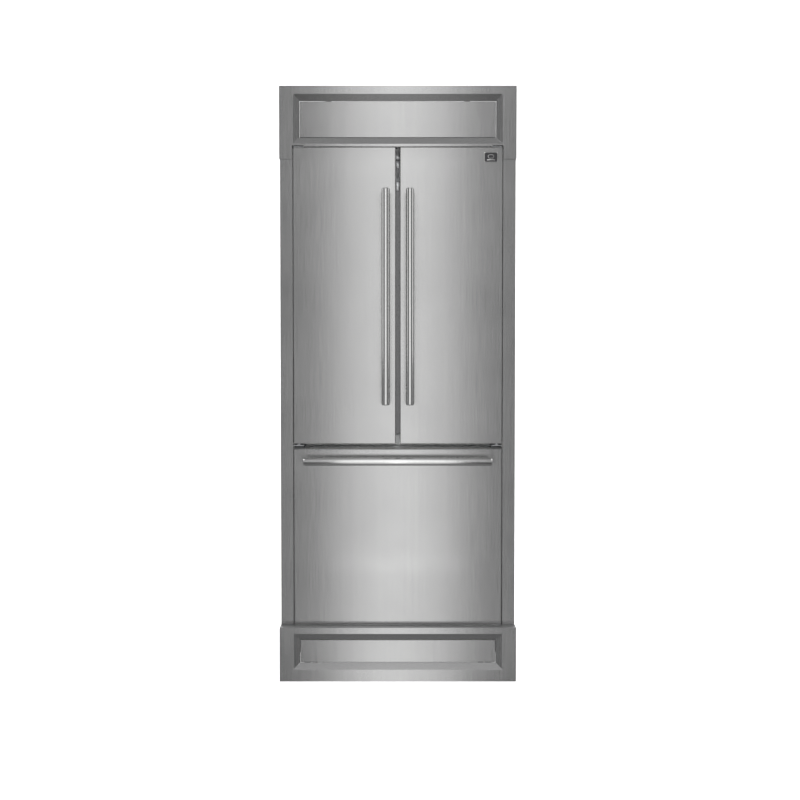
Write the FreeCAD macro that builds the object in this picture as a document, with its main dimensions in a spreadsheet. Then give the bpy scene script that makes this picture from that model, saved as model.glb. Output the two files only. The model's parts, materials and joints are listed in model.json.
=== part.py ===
import FreeCAD, Part
import Sketcher
import os
import re

# A built-in style refrigerator: two doors over a freezer drawer, in a stainless trim kit.
# Millimetres. X is across, +Y is towards the back, +Z is up. The origin is on the floor,
# under the middle of the whole assembly.

document = FreeCAD.newDocument("french_door_refrigerator")
sheet = document.addObject("Spreadsheet::Sheet", "Sizes")

DRIVING_SIZES = {
    # whole assembly
    "trim_half": 419,
    "grille_top": 2106,
    "cabinet_rear": 364,
    "cabinet_front": -206,
    "cabinet_half": 372,
    "cabinet_floor": 70,
    "cabinet_top": 1940,
    "wrapper_sheet": 1,
    "anchor_half": 200,
    "anchor_back": 320,
    "anchor_radius": 2.75,
    "plate_sheet": 4,
    # doors and drawer
    "door_face": -290,
    "door_rear": -220,
    "door_outer": 370.5,
    "door_inner": 8,
    "door_low": 841,
    "door_high": 1892,
    "drawer_low": 193.5,
    "drawer_high": 829,
    "drawer_bevel": 9,
    "badge_left": 305,
    "badge_right": 353,
    "badge_low": 1838,
    "badge_high": 1874,
    "badge_proud": 1.2,
    "skin_sheet": 0.8,
    "skin_bend": 2.5,
    "liner_sheet": 2.5,
    "gasket_inset": 3,
    "gasket_outer": 352,
    "gasket_wide": 14,
    "gasket_gap": 0.3,
    # hinges
    "pivot_across": 352.5,
    "pivot_front": -282,
    "pin_radius": 5,
    "pin_clearance": 0.06,
    "bush_radius": 7.5,
    "pin_reach": 22,
    "hinge_near": 334,
    "hinge_far": 369,
    "hinge_sheet": 3,
    "screw_radius": 2,
    "screw_head": 4,
    # handles
    "handle_across": 42.5,
    "handle_front": -350,
    "handle_radius": 14,
    "handle_low": 982,
    "handle_high": 1739.5,
    "post_radius": 7.5,
    "post_inset": 44,
    "drawer_handle_half": 330.5,
    "drawer_handle_high": 783.6,
    # liners
    "liner_half": 324,
    "liner_wall": 3,
    "fresh_low": 868,
    "fresh_high": 1877,
    "freezer_low": 240,
    "freezer_high": 787,
    "liner_rear": 300,
    "step_front": 90,
    "step_high": 350,
    "rail_rear": -166,
    "foam_low": 187,
    "machine_front": 137,
    "machine_high": 297,
    # grilles and trims
    "base_face": -334,
    "base_high": 192,
    "top_face": -296,
    "top_low": 1897,
    "trim_sheet": 1.5,
    "bevel_deep": 12,
    "bevel_wide": 23.5,
    "panel_bevel": 1.5,
    "panel_sunk": 10.5,
    "hem_half": 330,
    "hem_deep": 3,
    "hem_gap": 1.5,
    "base_open_half": 370,
    "base_open_low": 42,
    "base_open_high": 170,
    "top_open_half": 371,
    "top_open_low": 1902,
    "top_open_high": 2077,
    "leg_low": 1849,
    "trim_inner": 372.8,
    "trim_outer": 417,
    "strap_wide": 20,
    "strap_sheet": 3,
    "strap_high": 2093,
    "arm_high": 38,
    "arm_rear": -240,
    # flipper mullion
    "flipper_half": 23,
    "flipper_front": -205.5,
    "flipper_rear": -190.5,
    "flipper_pin_across": -28,
    "flipper_pin_back": -198,
    "flipper_low": 870,
    "flipper_high": 1857,
    "flipper_wall": 1.6,
    "flipper_pin": 2.5,
    "knuckle_radius": 4.5,
    "knuckle_tall": 30,
    "eye_tall": 14,
    # door liner ridge and bins
    "ridge_outer": 318,
    "ridge_inner": 40,
    "ridge_wide": 22,
    "ridge_rear": -165,
    "ridge_low": 885,
    "ridge_high": 1856,
    "bin_rear": -102,
    "bin_tall": 96,
    "bin_wall": 2.4,
    # inside the cabinet
    "shelf_front": -84,
    "shelf_rear": 280,
    "shelf_half": 317,
    "shelf_tall": 14,
    "crisper_front": -35,
    "crisper_rear": 285,
    "crisper_low": 874,
    "crisper_high": 1058,
    "crisper_wall": 2.5,
    "grip_near": 90,
    "grip_far": 229,
    "grip_deep": 12,
    "grip_drop": 18,
    "duct_half": 85,
    "duct_deep": 16,
    "duct_low": 1110,
    "duct_high": 1850,
    "panel_half": 90,
    "panel_front": -138,
    "panel_rear": -74,
    "panel_tall": 16,
    "window_half": 70,
    "lens_half": 120,
    "lens_front": -60,
    "lens_rear": 40,
    "lens_tall": 9,
    # freezer inside
    "rail_low": 376,
    "rail_high": 414,
    "slide_front": -193,
    "slide_rear": 245,
    "slide_sheet": 1.5,
    "basket_half": 298,
    "basket_front": -190,
    "basket_rear": 70,
    "basket_low": 256,
    "basket_high": 500,
    "basket_wall": 3,
    "tray_rear": 56,
    "tray_high": 604,
    # cooling
    "coil_half": 240,
    "coil_front": 268,
    "coil_rear": 294,
    "coil_low": 420,
    "coil_high": 560,
    "condenser_half": 210,
    "condenser_front": -150,
    "condenser_rear": 60,
    "condenser_low": 88,
    "condenser_high": 172,
    "fin_sheet": 1,
    "coil_tube": 4,
    "tube_reach": 8,
    "cover_half": 300,
    "cover_front": 258,
    "cover_sheet": 3,
    "cover_low": 400,
    "cover_high": 770,
    "mount_half": 66,
    "mount_front": 150,
    "fan_radius": 53,
    "fan_gap": 4,
    "fan_hub": 16,
    "fan_shaft": 3,
    "shaft_long": 27,
    "shaft_fit": 0.05,
    "blade_wide": 30,
    "blade_sheet": 1.8,
    "blade_pitch": 28,
    "motor_radius": 19,
    "freezer_fan_high": 680,
    "machine_fan_high": 144,
    # machine space
    "can_across": 215,
    "can_back": 252,
    "can_low": 96,
    "pan_left": -340,
    "pan_right": -100,
    "pan_front": 198,
    "pan_rear": 328,
    "inlet_across": -298,
    "inlet_high": 120,
    "foot_across": 335,
    "foot_front": -150,
    "foot_rear": 320,
}

# Places along the height or across, of what repeats.
SHELF_HEIGHTS = (1290, 1570)
CRISPER_COVER_Z = 1070
BIN_HEIGHTS = (1090, 1370, 1640)
FLIPPER_LUG_HEIGHTS = (930, 1372, 1812)
DUCT_VENT_HEIGHTS = (1160, 1430, 1700)
SCREW_PLACES = (342, 362)
UPPER_SCREW_Z = "door_high + 17"
LOWER_SCREW_Z = "drawer_high - 1"
STRAP_PLACES = (-260, 240)
ARM_PLACES = (-310, 290)
AIR_SLOT_PLACES = (-270, -170, -70, 30, 130, 230)
SIDES = (-1, 1)

for row, (word, value) in enumerate(DRIVING_SIZES.items(), start=1):
    sheet.set(f"A{row}", word.replace("_", " "))
    sheet.set(f"B{row}", str(value))
    sheet.setAlias(f"B{row}", word)
document.recompute()

WORDS = re.compile(r"[a-z]+(?:_[a-z]+)+")
sub_parts = {}


def linked(text):
    """An expression whose words are cells of the sheet, such as door_low + 3."""
    return WORDS.sub(lambda word: "Sizes." + word.group(), str(text))


def number(text):
    """The value of such an expression, for code that places things itself."""
    values = {word: float(value) for word, value in DRIVING_SIZES.items()}
    total = WORDS.sub(lambda word: repr(values[word.group()]), str(text))
    return float(FreeCAD.Units.Quantity(total).Value)


def sub_part(label, item):
    """Names one finished sub-part, which is written to its own file."""
    item.Label = label
    sub_parts[label] = item
    return item


def box(x, y, z, name="block"):
    """A box between a low and a high expression on each axis."""
    solid = document.addObject("Part::Box", name)
    for size, axis, (low, high) in (("Length", "x", x), ("Width", "y", y), ("Height", "z", z)):
        solid.setExpression(size, linked(f"({high}) - ({low})"))
        solid.setExpression("Placement.Base." + axis, linked(low))
    return solid


TURNS = {
    "z": FreeCAD.Rotation(),
    "y": FreeCAD.Rotation(FreeCAD.Vector(1, 0, 0), -90),
    "x": FreeCAD.Rotation(FreeCAD.Vector(0, 1, 0), 90),
}


def rod(radius, axis, x, y, z, name="rod"):
    """A cylinder along one axis; that axis is given a low and a high expression."""
    solid = document.addObject("Part::Cylinder", name)
    solid.Placement.Rotation = TURNS[axis]
    solid.setExpression("Radius", linked(radius))
    for name_of_axis, where in (("x", x), ("y", y), ("z", z)):
        if name_of_axis == axis:
            solid.setExpression("Height", linked(f"({where[1]}) - ({where[0]})"))
            where = where[0]
        solid.setExpression("Placement.Base." + name_of_axis, linked(where))
    return solid


def wedge(front, front_x, front_z, rear, rear_x, rear_z, name="bevel"):
    """A block whose front rectangle and rear rectangle differ, for mitred bevels."""
    solid = document.addObject("Part::Wedge", name)
    ends = {
        "Ymin": front, "Xmin": front_x[0], "Xmax": front_x[1], "Zmin": front_z[0], "Zmax": front_z[1],
        "Ymax": rear, "X2min": rear_x[0], "X2max": rear_x[1], "Z2min": rear_z[0], "Z2max": rear_z[1],
    }
    for end, text in ends.items():
        setattr(solid, end, number(text))
    for end, text in ends.items():
        solid.setExpression(end, linked(text))
    return solid


def fuse(items, name="joined"):
    joined = document.addObject("Part::MultiFuse", name)
    joined.Shapes = items
    joined.Refine = True
    return joined


def cut(base, tools, name="cut"):
    """The base less one tool, or less several tools joined together."""
    result = document.addObject("Part::Cut", name)
    result.Base = base
    result.Tool = tools[0] if len(tools) == 1 else fuse(tools, "tools")
    result.Refine = True
    return result


def group(items, name="group"):
    """Several separate solids in one sub-part."""
    compound = document.addObject("Part::Compound", name)
    compound.Links = items
    return compound


def span(side, low, high):
    """A range across, on the left (-1) or on the right (+1)."""
    return (low, high) if side > 0 else (f"-({high})", f"-({low})")


def at(side, across):
    return across if side > 0 else f"-({across})"


def grown(limits, by):
    return (f"{limits[0]} - ({by})", f"{limits[1]} + ({by})")


def origin_plane(body, role):
    return next(item for item in body.Origin.OriginFeatures if item.Role == role)


def sketch(body, role, offset, corners, name="outline"):
    """A closed outline on an origin plane; each corner is two expressions."""
    drawn = body.newObject("Sketcher::SketchObject", name)
    drawn.AttachmentSupport = [(origin_plane(body, role), "")]
    drawn.MapMode = "FlatFace"
    drawn.setExpression("AttachmentOffset.Base.z", linked(offset))
    places = [FreeCAD.Vector(number(a), number(b), 0) for a, b in corners]
    count = len(corners)
    for i in range(count):
        drawn.addGeometry(Part.LineSegment(places[i], places[(i + 1) % count]), False)
    for i in range(count):
        drawn.addConstraint(Sketcher.Constraint("Coincident", i, 2, (i + 1) % count, 1))
    for i, corner in enumerate(corners):
        for kind, text, value in zip(("DistanceX", "DistanceY"), corner, places[i]):
            index = drawn.addConstraint(Sketcher.Constraint(kind, -1, 1, i, 1, value))
            drawn.setExpression(f"Constraints[{index}]", linked(text))
    return drawn


def rectangle(x, z):
    return [(x[0], z[0]), (x[1], z[0]), (x[1], z[1]), (x[0], z[1])]


def pad(body, drawn, length, reverse=False, name="pad"):
    feature = body.newObject("PartDesign::Pad", name)
    feature.Profile = drawn
    feature.setExpression("Length", linked(length))
    feature.Reversed = reverse
    document.recompute()
    return feature


def pocket(body, drawn, length, reverse=False, name="pocket"):
    """A pocket that has to take material away, or the build stops."""
    before = body.Tip.Shape.Volume
    feature = body.newObject("PartDesign::Pocket", name)
    feature.Profile = drawn
    feature.setExpression("Length", linked(length))
    feature.Reversed = reverse
    document.recompute()
    if feature.Shape.Volume > before - 1:
        raise RuntimeError(f"{body.Name}: {name} cuts nothing")
    return feature


def edges_where(shape, test):
    return [f"Edge{i}" for i, edge in enumerate(shape.Edges, start=1) if test(edge.BoundBox)]


def faces_where(shape, test):
    return [f"Face{i}" for i, face in enumerate(shape.Faces, start=1) if test(face.BoundBox)]


def body_named(name):
    return document.addObject("PartDesign::Body", name)


# ---------------------------------------------------------------- cabinet


def cabinet():
    outer_x = ("-cabinet_half", "cabinet_half")
    inner_x = ("-cabinet_half + wrapper_sheet", "cabinet_half - wrapper_sheet")
    shell_low = "cabinet_floor + plate_sheet"
    rear_sheet = ("cabinet_rear - wrapper_sheet", "cabinet_rear")

    whole = box(outer_x, ("cabinet_front", rear_sheet[0]), (shell_low, "cabinet_top"))
    room_z = (f"{shell_low} - 1", "cabinet_top - wrapper_sheet")
    room = box(inner_x, ("cabinet_front - 1", "cabinet_rear"), room_z)
    anchor_z = ("cabinet_top - 2", "cabinet_top + 1")
    anchors = [
        rod("anchor_radius", "z", at(side, "anchor_half"), "anchor_back", anchor_z)
        for side in SIDES
    ]
    sub_part("cabinet_wrapper", cut(whole, [room] + anchors))

    sub_part("back_panel", box(outer_x, rear_sheet, ("machine_high", "cabinet_top")))

    plate = box(outer_x, ("cabinet_front", "cabinet_rear"), ("cabinet_floor", shell_low))
    slot_y = ("cabinet_front + 20", "cabinet_front + 110")
    slot_z = ("cabinet_floor - 1", f"{shell_low} + 1")
    slots = [box((f"{x}", f"{x} + 60"), slot_y, slot_z) for x in AIR_SLOT_PLACES]
    sub_part("base_plate", cut(plate, slots))

    rail_y = ("cabinet_front", "rail_rear")
    for label, low, high, screw_z in (
        ("top_rail", "fresh_high + liner_wall", "cabinet_top - wrapper_sheet", UPPER_SCREW_Z),
        ("middle_rail", "freezer_high + liner_wall", "fresh_low - liner_wall", LOWER_SCREW_Z),
    ):
        channel = box(inner_x, rail_y, (low, high))
        hollow_y = ("cabinet_front + 2", "rail_rear + 1")
        hollow = box(grown(inner_x, "-4"), hollow_y, (f"{low} + 2", f"{high} - 2"))
        holes = [
            rod("screw_radius + 0.1", "y", f"{side * x}", ("cabinet_front - 1", "cabinet_front + 3"), screw_z)
            for side in SIDES
            for x in SCREW_PLACES
        ]
        sub_part(label, cut(channel, [hollow] + holes))


def fresh_food_liner():
    """A box open to the front, with side flanges and ledges that hold the shelves."""
    half = ("-liner_half", "liner_half")
    outer = box(
        grown(half, "liner_wall"), ("cabinet_front", "liner_rear + liner_wall"),
        ("fresh_low - liner_wall", "fresh_high + liner_wall"),
    )
    inner = box(half, ("cabinet_front - 1", "liner_rear"), ("fresh_low", "fresh_high"))
    flanges = [
        box(
            span(side, "liner_half + liner_wall", "cabinet_half - wrapper_sheet"),
            ("cabinet_front", "cabinet_front + liner_wall"),
            ("fresh_low - liner_wall", "fresh_high + liner_wall"),
        )
        for side in SIDES
    ]
    ledge_y = ("shelf_front + 10", "liner_rear")
    ledges = [
        box(span(side, "liner_half - 7", "liner_half"), ledge_y, (f"{z} - 9", f"{z}"))
        for side in SIDES
        for z in (*SHELF_HEIGHTS, CRISPER_COVER_Z)
    ]
    return sub_part("fresh_food_liner", fuse([cut(outer, [inner])] + flanges + ledges))


def freezer_liner():
    """The freezer tub, whose floor steps up over the compressor."""
    body = body_named("freezer_liner")
    front = "cabinet_front"

    def profile(by):
        return [
            (front, f"freezer_low - {by}"),
            (f"step_front + {by}", f"freezer_low - {by}"),
            (f"step_front + {by}", f"step_high - {by}"),
            (f"liner_rear + {by}", f"step_high - {by}"),
            (f"liner_rear + {by}", f"freezer_high + {by}"),
            (front, f"freezer_high + {by}"),
        ]

    outside = sketch(body, "YZ_Plane", "-liner_half - liner_wall", profile("liner_wall"))
    pad(body, outside, "2 * liner_half + 2 * liner_wall")
    flange_x = ("-cabinet_half + wrapper_sheet", "cabinet_half - wrapper_sheet")
    flange_z = ("foam_low", "freezer_high + liner_wall")
    flange = sketch(body, "XZ_Plane", "-cabinet_front", rectangle(flange_x, flange_z))
    pad(body, flange, "liner_wall", reverse=True)
    pocket(body, sketch(body, "YZ_Plane", "-liner_half", profile("0")), "2 * liner_half", reverse=True)
    return sub_part("freezer_liner", body)


def cabinet_insulation():
    """Foam between the wrapper, the two liners and the machine compartment."""
    inner_x = ("-cabinet_half + wrapper_sheet", "cabinet_half - wrapper_sheet")
    block = box(
        inner_x, ("cabinet_front + liner_wall", "cabinet_rear - wrapper_sheet"),
        ("foam_low", "cabinet_top - wrapper_sheet"),
    )
    liner_x = ("-liner_half - liner_wall", "liner_half + liner_wall")
    front = "cabinet_front - 1"
    rear = "liner_rear + liner_wall"
    cold_top = "freezer_high + liner_wall"
    hollows = [
        box(inner_x, ("machine_front", "cabinet_rear"), ("foam_low - 1", "machine_high")),
        box(liner_x, (front, rear), ("fresh_low - liner_wall", "fresh_high + liner_wall")),
        box(liner_x, (front, "step_front + liner_wall"), ("freezer_low - liner_wall", cold_top)),
        box(liner_x, (front, rear), ("step_high - liner_wall", cold_top)),
        box(inner_x, (front, "rail_rear"), (cold_top, "fresh_low - liner_wall")),
        box(inner_x, (front, "rail_rear"), ("fresh_high + liner_wall", "cabinet_top")),
    ]
    anchor_z = ("cabinet_top - 25", "cabinet_top")
    hollows += [
        rod("anchor_radius + 1", "z", at(side, "anchor_half"), "anchor_back", anchor_z)
        for side in SIDES
    ]
    return sub_part("cabinet_insulation", cut(block, hollows))


# ---------------------------------------------------------------- trim kit


def bevelled_frame(label, face, rear, outer_x, outer_z, open_x, open_z, extras):
    """A folded sheet frame with returns to the back and a mitred bevel round its opening."""
    floor_x, floor_z = grown(open_x, "-bevel_wide"), grown(open_z, "-bevel_wide")
    behind = f"{face} + bevel_deep + trim_sheet"
    inside_y = (f"{face} + trim_sheet", f"{rear} + 1")
    inside = box(grown(outer_x, "-trim_sheet"), inside_y, grown(outer_z, "-trim_sheet"))
    tray = cut(box(outer_x, (face, rear), outer_z), [inside])
    funnel = wedge(
        face, grown(open_x, "trim_sheet"), grown(open_z, "trim_sheet"),
        behind, floor_x, floor_z,
    )
    opening = wedge(
        face, open_x, open_z,
        f"{face} + bevel_deep", floor_x, floor_z,
    )
    through = box(floor_x, (f"{face} - 1", f"{behind} + 1"), floor_z)
    return sub_part(label, cut(fuse([tray, funnel] + extras), [opening, through]))


def raised_panel(label, face, open_x, open_z):
    """A shallow pan that fills a frame's opening and leaves a groove all round."""
    floor_x, floor_z = grown(open_x, "-bevel_wide - 0.5"), grown(open_z, "-bevel_wide - 0.5")
    front, back = f"{face} + panel_sunk", f"{face} + bevel_deep"
    top_x, top_z = grown(floor_x, "-panel_bevel"), grown(floor_z, "-panel_bevel")
    slope = wedge(front, top_x, top_z, back, floor_x, floor_z)
    skirt = box(floor_x, (back, f"{back} + 3"), floor_z)
    inside = wedge(
        f"{front} + trim_sheet", grown(top_x, "-1"), grown(top_z, "-1"),
        f"{back} + 3", grown(floor_x, "-trim_sheet"), grown(floor_z, "-trim_sheet"),
    )
    return sub_part(label, cut(fuse([slope, skirt]), [inside]))


def top_straps():
    """Folded straps that carry the top frame on the cabinet's roof."""
    face = "top_face + trim_sheet"
    stand = "cabinet_front + strap_sheet"
    straps = []
    for x in STRAP_PLACES:
        here = (f"{x}", f"{x} + strap_wide")
        straps += [
            box(here, ("cabinet_front", "cabinet_front + 66"), ("cabinet_top", "cabinet_top + strap_sheet")),
            box(here, ("cabinet_front", stand), ("cabinet_top", "strap_high")),
            box(here, (face, stand), ("strap_high - strap_sheet", "strap_high")),
            box(here, (face, f"{face} + strap_sheet"), ("strap_high - 13", "strap_high + 10")),
        ]
    return straps


def top_legs():
    """Short folded ends of the top frame, beside the doors' upper corners."""
    tall = ("leg_low", "top_low + 2")
    legs = []
    for side in SIDES:
        front = span(side, "trim_inner", "trim_half")
        outer = span(side, "trim_half - trim_sheet", "trim_half")
        inner = span(side, "trim_inner", "trim_inner + trim_sheet")
        legs.append(fuse([
            box(front, ("top_face", "top_face + trim_sheet"), tall),
            box(outer, ("top_face", "cabinet_front"), tall),
            box(inner, ("top_face", "cabinet_front"), tall),
        ]))
    return legs


def base_arms():
    """Folded arms that carry the base frame under the cabinet's floor."""
    face = "base_face + trim_sheet"
    drop = "arm_rear - strap_sheet"
    arms = []
    for x in ARM_PLACES:
        here = (f"{x}", f"{x} + strap_wide")
        arms += [
            box(here, (face, f"{face} + strap_sheet"), ("arm_high - 30", "arm_high")),
            box(here, (face, "arm_rear"), ("arm_high - strap_sheet", "arm_high")),
            box(here, (drop, "arm_rear"), ("arm_high - strap_sheet", "cabinet_floor")),
            box(here, (drop, "arm_rear + 70"), ("cabinet_floor - strap_sheet", "cabinet_floor")),
        ]
    return arms


def trim_kit():
    across = ("-trim_half", "trim_half")
    open_x, open_z = ("-top_open_half", "top_open_half"), ("top_open_low", "top_open_high")
    hem_z = ("door_high + hem_gap", "top_low + 1")
    hem = box(("-hem_half", "hem_half"), ("top_face", "top_face + hem_deep"), hem_z)
    bevelled_frame(
        "top_grille_frame", "top_face", "cabinet_front - 4", across, ("top_low", "grille_top"),
        open_x, open_z, top_straps() + top_legs() + [hem],
    )
    raised_panel("top_grille_panel", "top_face", open_x, open_z)

    open_x, open_z = ("-base_open_half", "base_open_half"), ("base_open_low", "base_open_high")
    bevelled_frame(
        "base_grille_frame", "base_face", "cabinet_front", across, ("0", "base_high"),
        open_x, open_z, base_arms(),
    )
    raised_panel("base_grille_panel", "base_face", open_x, open_z)

    for side, label in ((-1, "left_side_trim"), (1, "right_side_trim")):
        side_trim(side, label)


def side_trim(side, label):
    """A folded strip beside the doors, with a flange on the cabinet's side."""
    tall = ("base_high", "leg_low")
    inner = "trim_inner + trim_sheet"
    flange_y = ("cabinet_front + 2.5", "cabinet_front + 4")
    sub_part(label, fuse([
        box(span(side, "trim_inner", "trim_outer"), ("door_face", "door_face + trim_sheet"), tall),
        box(span(side, "trim_outer - trim_sheet", "trim_outer"), ("door_face", "door_face + 30"), tall),
        box(span(side, "trim_inner", inner), ("door_face", "cabinet_front + 4"), tall),
        box(span(side, "cabinet_half", inner), flange_y, tall),
        box(span(side, "cabinet_half", "cabinet_half + trim_sheet"), (flange_y[0], "cabinet_front + 56"), tall),
    ]))


# ---------------------------------------------------------------- hinges


def screw_holes(side, height):
    return [
        rod("screw_radius + 0.1", "y", f"{side * x}", ("cabinet_front - 4", "cabinet_front + 1"), height)
        for x in SCREW_PLACES
    ]


def upper_hinge(side):
    """A plate over the door, a tab on the top rail, and a pin that points down."""
    wide, across = span(side, "hinge_near", "hinge_far"), at(side, "pivot_across")
    low, high = "door_high + 1", "door_high + 1 + hinge_sheet"
    plate = box(wide, ("pivot_front - bush_radius", "cabinet_front"), (low, high))
    tab = box(wide, ("cabinet_front - hinge_sheet", "cabinet_front"), (low, "door_high + 26"))
    pin = rod("pin_radius", "z", across, "pivot_front", ("door_high - pin_reach", high))
    return cut(fuse([plate, tab, pin]), screw_holes(side, UPPER_SCREW_Z))


def lower_hinge(side):
    """A plate under the door, a tab on the middle rail, a pin and the collar that the door rests on."""
    wide, across = span(side, "hinge_near", "hinge_far"), at(side, "pivot_across")
    low, high = "drawer_high + 4", "drawer_high + 8"
    plate = box(wide, ("pivot_front - bush_radius", "cabinet_front"), (low, high))
    tab = box(wide, ("cabinet_front - hinge_sheet", "cabinet_front"), ("drawer_high - 7", high))
    pin = rod("pin_radius", "z", across, "pivot_front", (low, "door_low + pin_reach"))
    collar = rod("bush_radius", "z", across, "pivot_front", (high, "door_low - gasket_gap"))
    return cut(fuse([plate, tab, pin, collar]), screw_holes(side, LOWER_SCREW_Z))


def hinge_screw(across, height):
    under_head = "cabinet_front - hinge_sheet"
    shank = rod("screw_radius", "y", across, (under_head, "cabinet_front + 9"), height)
    head = rod("screw_head", "y", across, (f"{under_head} - 2.2", under_head), height)
    return fuse([shank, head])


def hinges():
    """Four brackets, screwed to the rails, whose pins carry the doors."""
    sub_part("upper_hinges", group([upper_hinge(side) for side in SIDES]))
    sub_part("lower_hinges", group([lower_hinge(side) for side in SIDES]))
    sub_part("hinge_screws", group([
        hinge_screw(f"{side * x}", height)
        for side in SIDES
        for x in SCREW_PLACES
        for height in (UPPER_SCREW_Z, LOWER_SCREW_Z)
    ]))


# ---------------------------------------------------------------- doors and drawer front


def skin_body(name, x, low, high, top_bevel=None):
    """A folded stainless pan, open at the back, with softly bent edges."""
    body = body_named(name)
    face = sketch(body, "XZ_Plane", "-door_face", rectangle(x, (low, high)))
    block = pad(body, face, "door_rear - door_face - 2", reverse=True)
    front = number("door_face")

    def on_front(limits):
        return abs(limits.YMin - front) < 0.01 and limits.YLength < 0.01

    last = block
    top = number(high)
    if top_bevel:
        last = body.newObject("PartDesign::Chamfer", "bevel")
        last.Base = (block, edges_where(block.Shape, lambda b: on_front(b) and b.ZMin > top - 0.01))
        last.setExpression("Size", linked(top_bevel))
        document.recompute()
        top -= number(top_bevel)

    def to_bend(limits):
        return on_front(limits) and not (top_bevel and limits.ZMin > top - 0.01)

    bend = body.newObject("PartDesign::Fillet", "bend")
    bend.Base = (last, edges_where(last.Shape, to_bend))
    bend.setExpression("Radius", linked("skin_bend"))
    document.recompute()
    rear = number("door_rear") - 2
    open_face = faces_where(bend.Shape, lambda b: b.YMin > rear - 0.01 and b.YLength < 0.01)
    shell = body.newObject("PartDesign::Thickness", "shell")
    shell.Base = (bend, open_face)
    shell.Reversed = True
    shell.setExpression("Value", linked("skin_sheet"))
    document.recompute()
    return body


def liner_tray(x, z, ridge_x, ridge_z, ridge_rear):
    """The inner panel: a flat sheet with a hollow ridge that stands into the cabinet."""
    flat = box(x, ("door_rear - 2", "door_rear"), z)
    deep = ("door_rear - 2", ridge_rear)
    inner_x, inner_z = grown(ridge_x, "-ridge_wide"), grown(ridge_z, "-ridge_wide")
    ridge = cut(box(ridge_x, deep, ridge_z), [box(inner_x, ("door_rear", f"{ridge_rear} + 1"), inner_z)])
    trough_y = ("door_rear - 3", f"{ridge_rear} - liner_sheet")
    wall = "liner_sheet"
    trough = cut(
        box(grown(ridge_x, f"-{wall}"), trough_y, grown(ridge_z, f"-{wall}")),
        [box(grown(inner_x, wall), ("door_rear - 4", ridge_rear), grown(inner_z, wall))],
    )
    return cut(fuse([flat, ridge]), [trough])


def ring(x, y, z, wide):
    hole = box(grown(x, f"-{wide}"), (f"{y[0]} - 1", f"{y[1]} + 1"), grown(z, f"-{wide}"))
    return cut(box(x, y, z), [hole])


def rounded_bar(name, axis_role, half_length):
    """A solid bar with softly rounded ends, turned about its own length."""
    body = body_named(name)
    soft = 3
    radius = "handle_radius"
    corners = [
        ("0", f"-({half_length})"),
        (f"{radius} - {soft}", f"-({half_length})"),
        (radius, f"-({half_length}) + {soft}"),
        (radius, f"{half_length} - {soft}"),
        (f"{radius} - {soft}", half_length),
        ("0", half_length),
    ]
    drawn = sketch(body, axis_role, "0", corners)
    turned = body.newObject("PartDesign::Revolution", "turned")
    turned.Profile = drawn
    turned.ReferenceAxis = (drawn, ["V_Axis"])
    turned.Angle = 360
    document.recompute()
    return body


def door_handle(label, side):
    """An upright bar on two posts with collars where they meet the door."""
    bar = rounded_bar(label + "_bar", "XZ_Plane", "(handle_high - handle_low) / 2")
    middle = "(handle_high + handle_low) / 2"
    bar.setExpression("Placement.Base.x", linked(at(side, "handle_across")))
    bar.setExpression("Placement.Base.y", linked("handle_front"))
    bar.setExpression("Placement.Base.z", linked(middle))
    posts = []
    for z in ("handle_low + post_inset", "handle_high - post_inset"):
        across = at(side, "handle_across")
        posts.append(rod("post_radius", "y", across, ("handle_front", "door_face"), z))
        posts.append(rod("post_radius + 0.6", "y", across, ("door_face - 3", "door_face"), z))
    return sub_part(label, fuse([bar] + posts))


def door_bins(label, side):
    """Three shelves that hang between the ridge's sides."""
    room = span(side, "ridge_inner + ridge_wide", "ridge_outer - ridge_wide")
    outer_x = grown(room, "-0.5")
    bins = []
    for z in BIN_HEIGHTS:
        outer = box(outer_x, ("door_rear + 0.5", "bin_rear"), (f"{z}", f"{z} + bin_tall"))
        inner = box(
            grown(outer_x, "-bin_wall"), ("door_rear + 0.5 + bin_wall", "bin_rear - bin_wall"),
            (f"{z} + bin_wall", f"{z} + bin_tall + 1"),
        )
        lip = box(outer_x, ("bin_rear - 5", "bin_rear"), (f"{z} + bin_tall - 6", f"{z} + bin_tall"))
        bins.append(fuse([cut(outer, [inner]), lip]))
    return sub_part(label, group(bins))


def flipper_eye(height):
    """A lug on the left door's inner panel, with the bore that a flipper pin turns in."""
    across, back = "flipper_pin_across", "flipper_pin_back"
    tall = (f"{height} - eye_tall", f"{height} + eye_tall")
    lug = box((f"{across} - 12", f"{across} - 4.5"), ("door_rear", f"{back} + 4"), tall)
    round_end = rod("knuckle_radius", "z", across, back, tall)
    neck = box((f"{across} - 6", across), (f"{back} - knuckle_radius", f"{back} + 4"), tall)
    bore = rod("flipper_pin + pin_clearance", "z", across, back, grown(tall, "1"))
    return fuse([lug, cut(fuse([round_end, neck]), [bore])])


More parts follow.
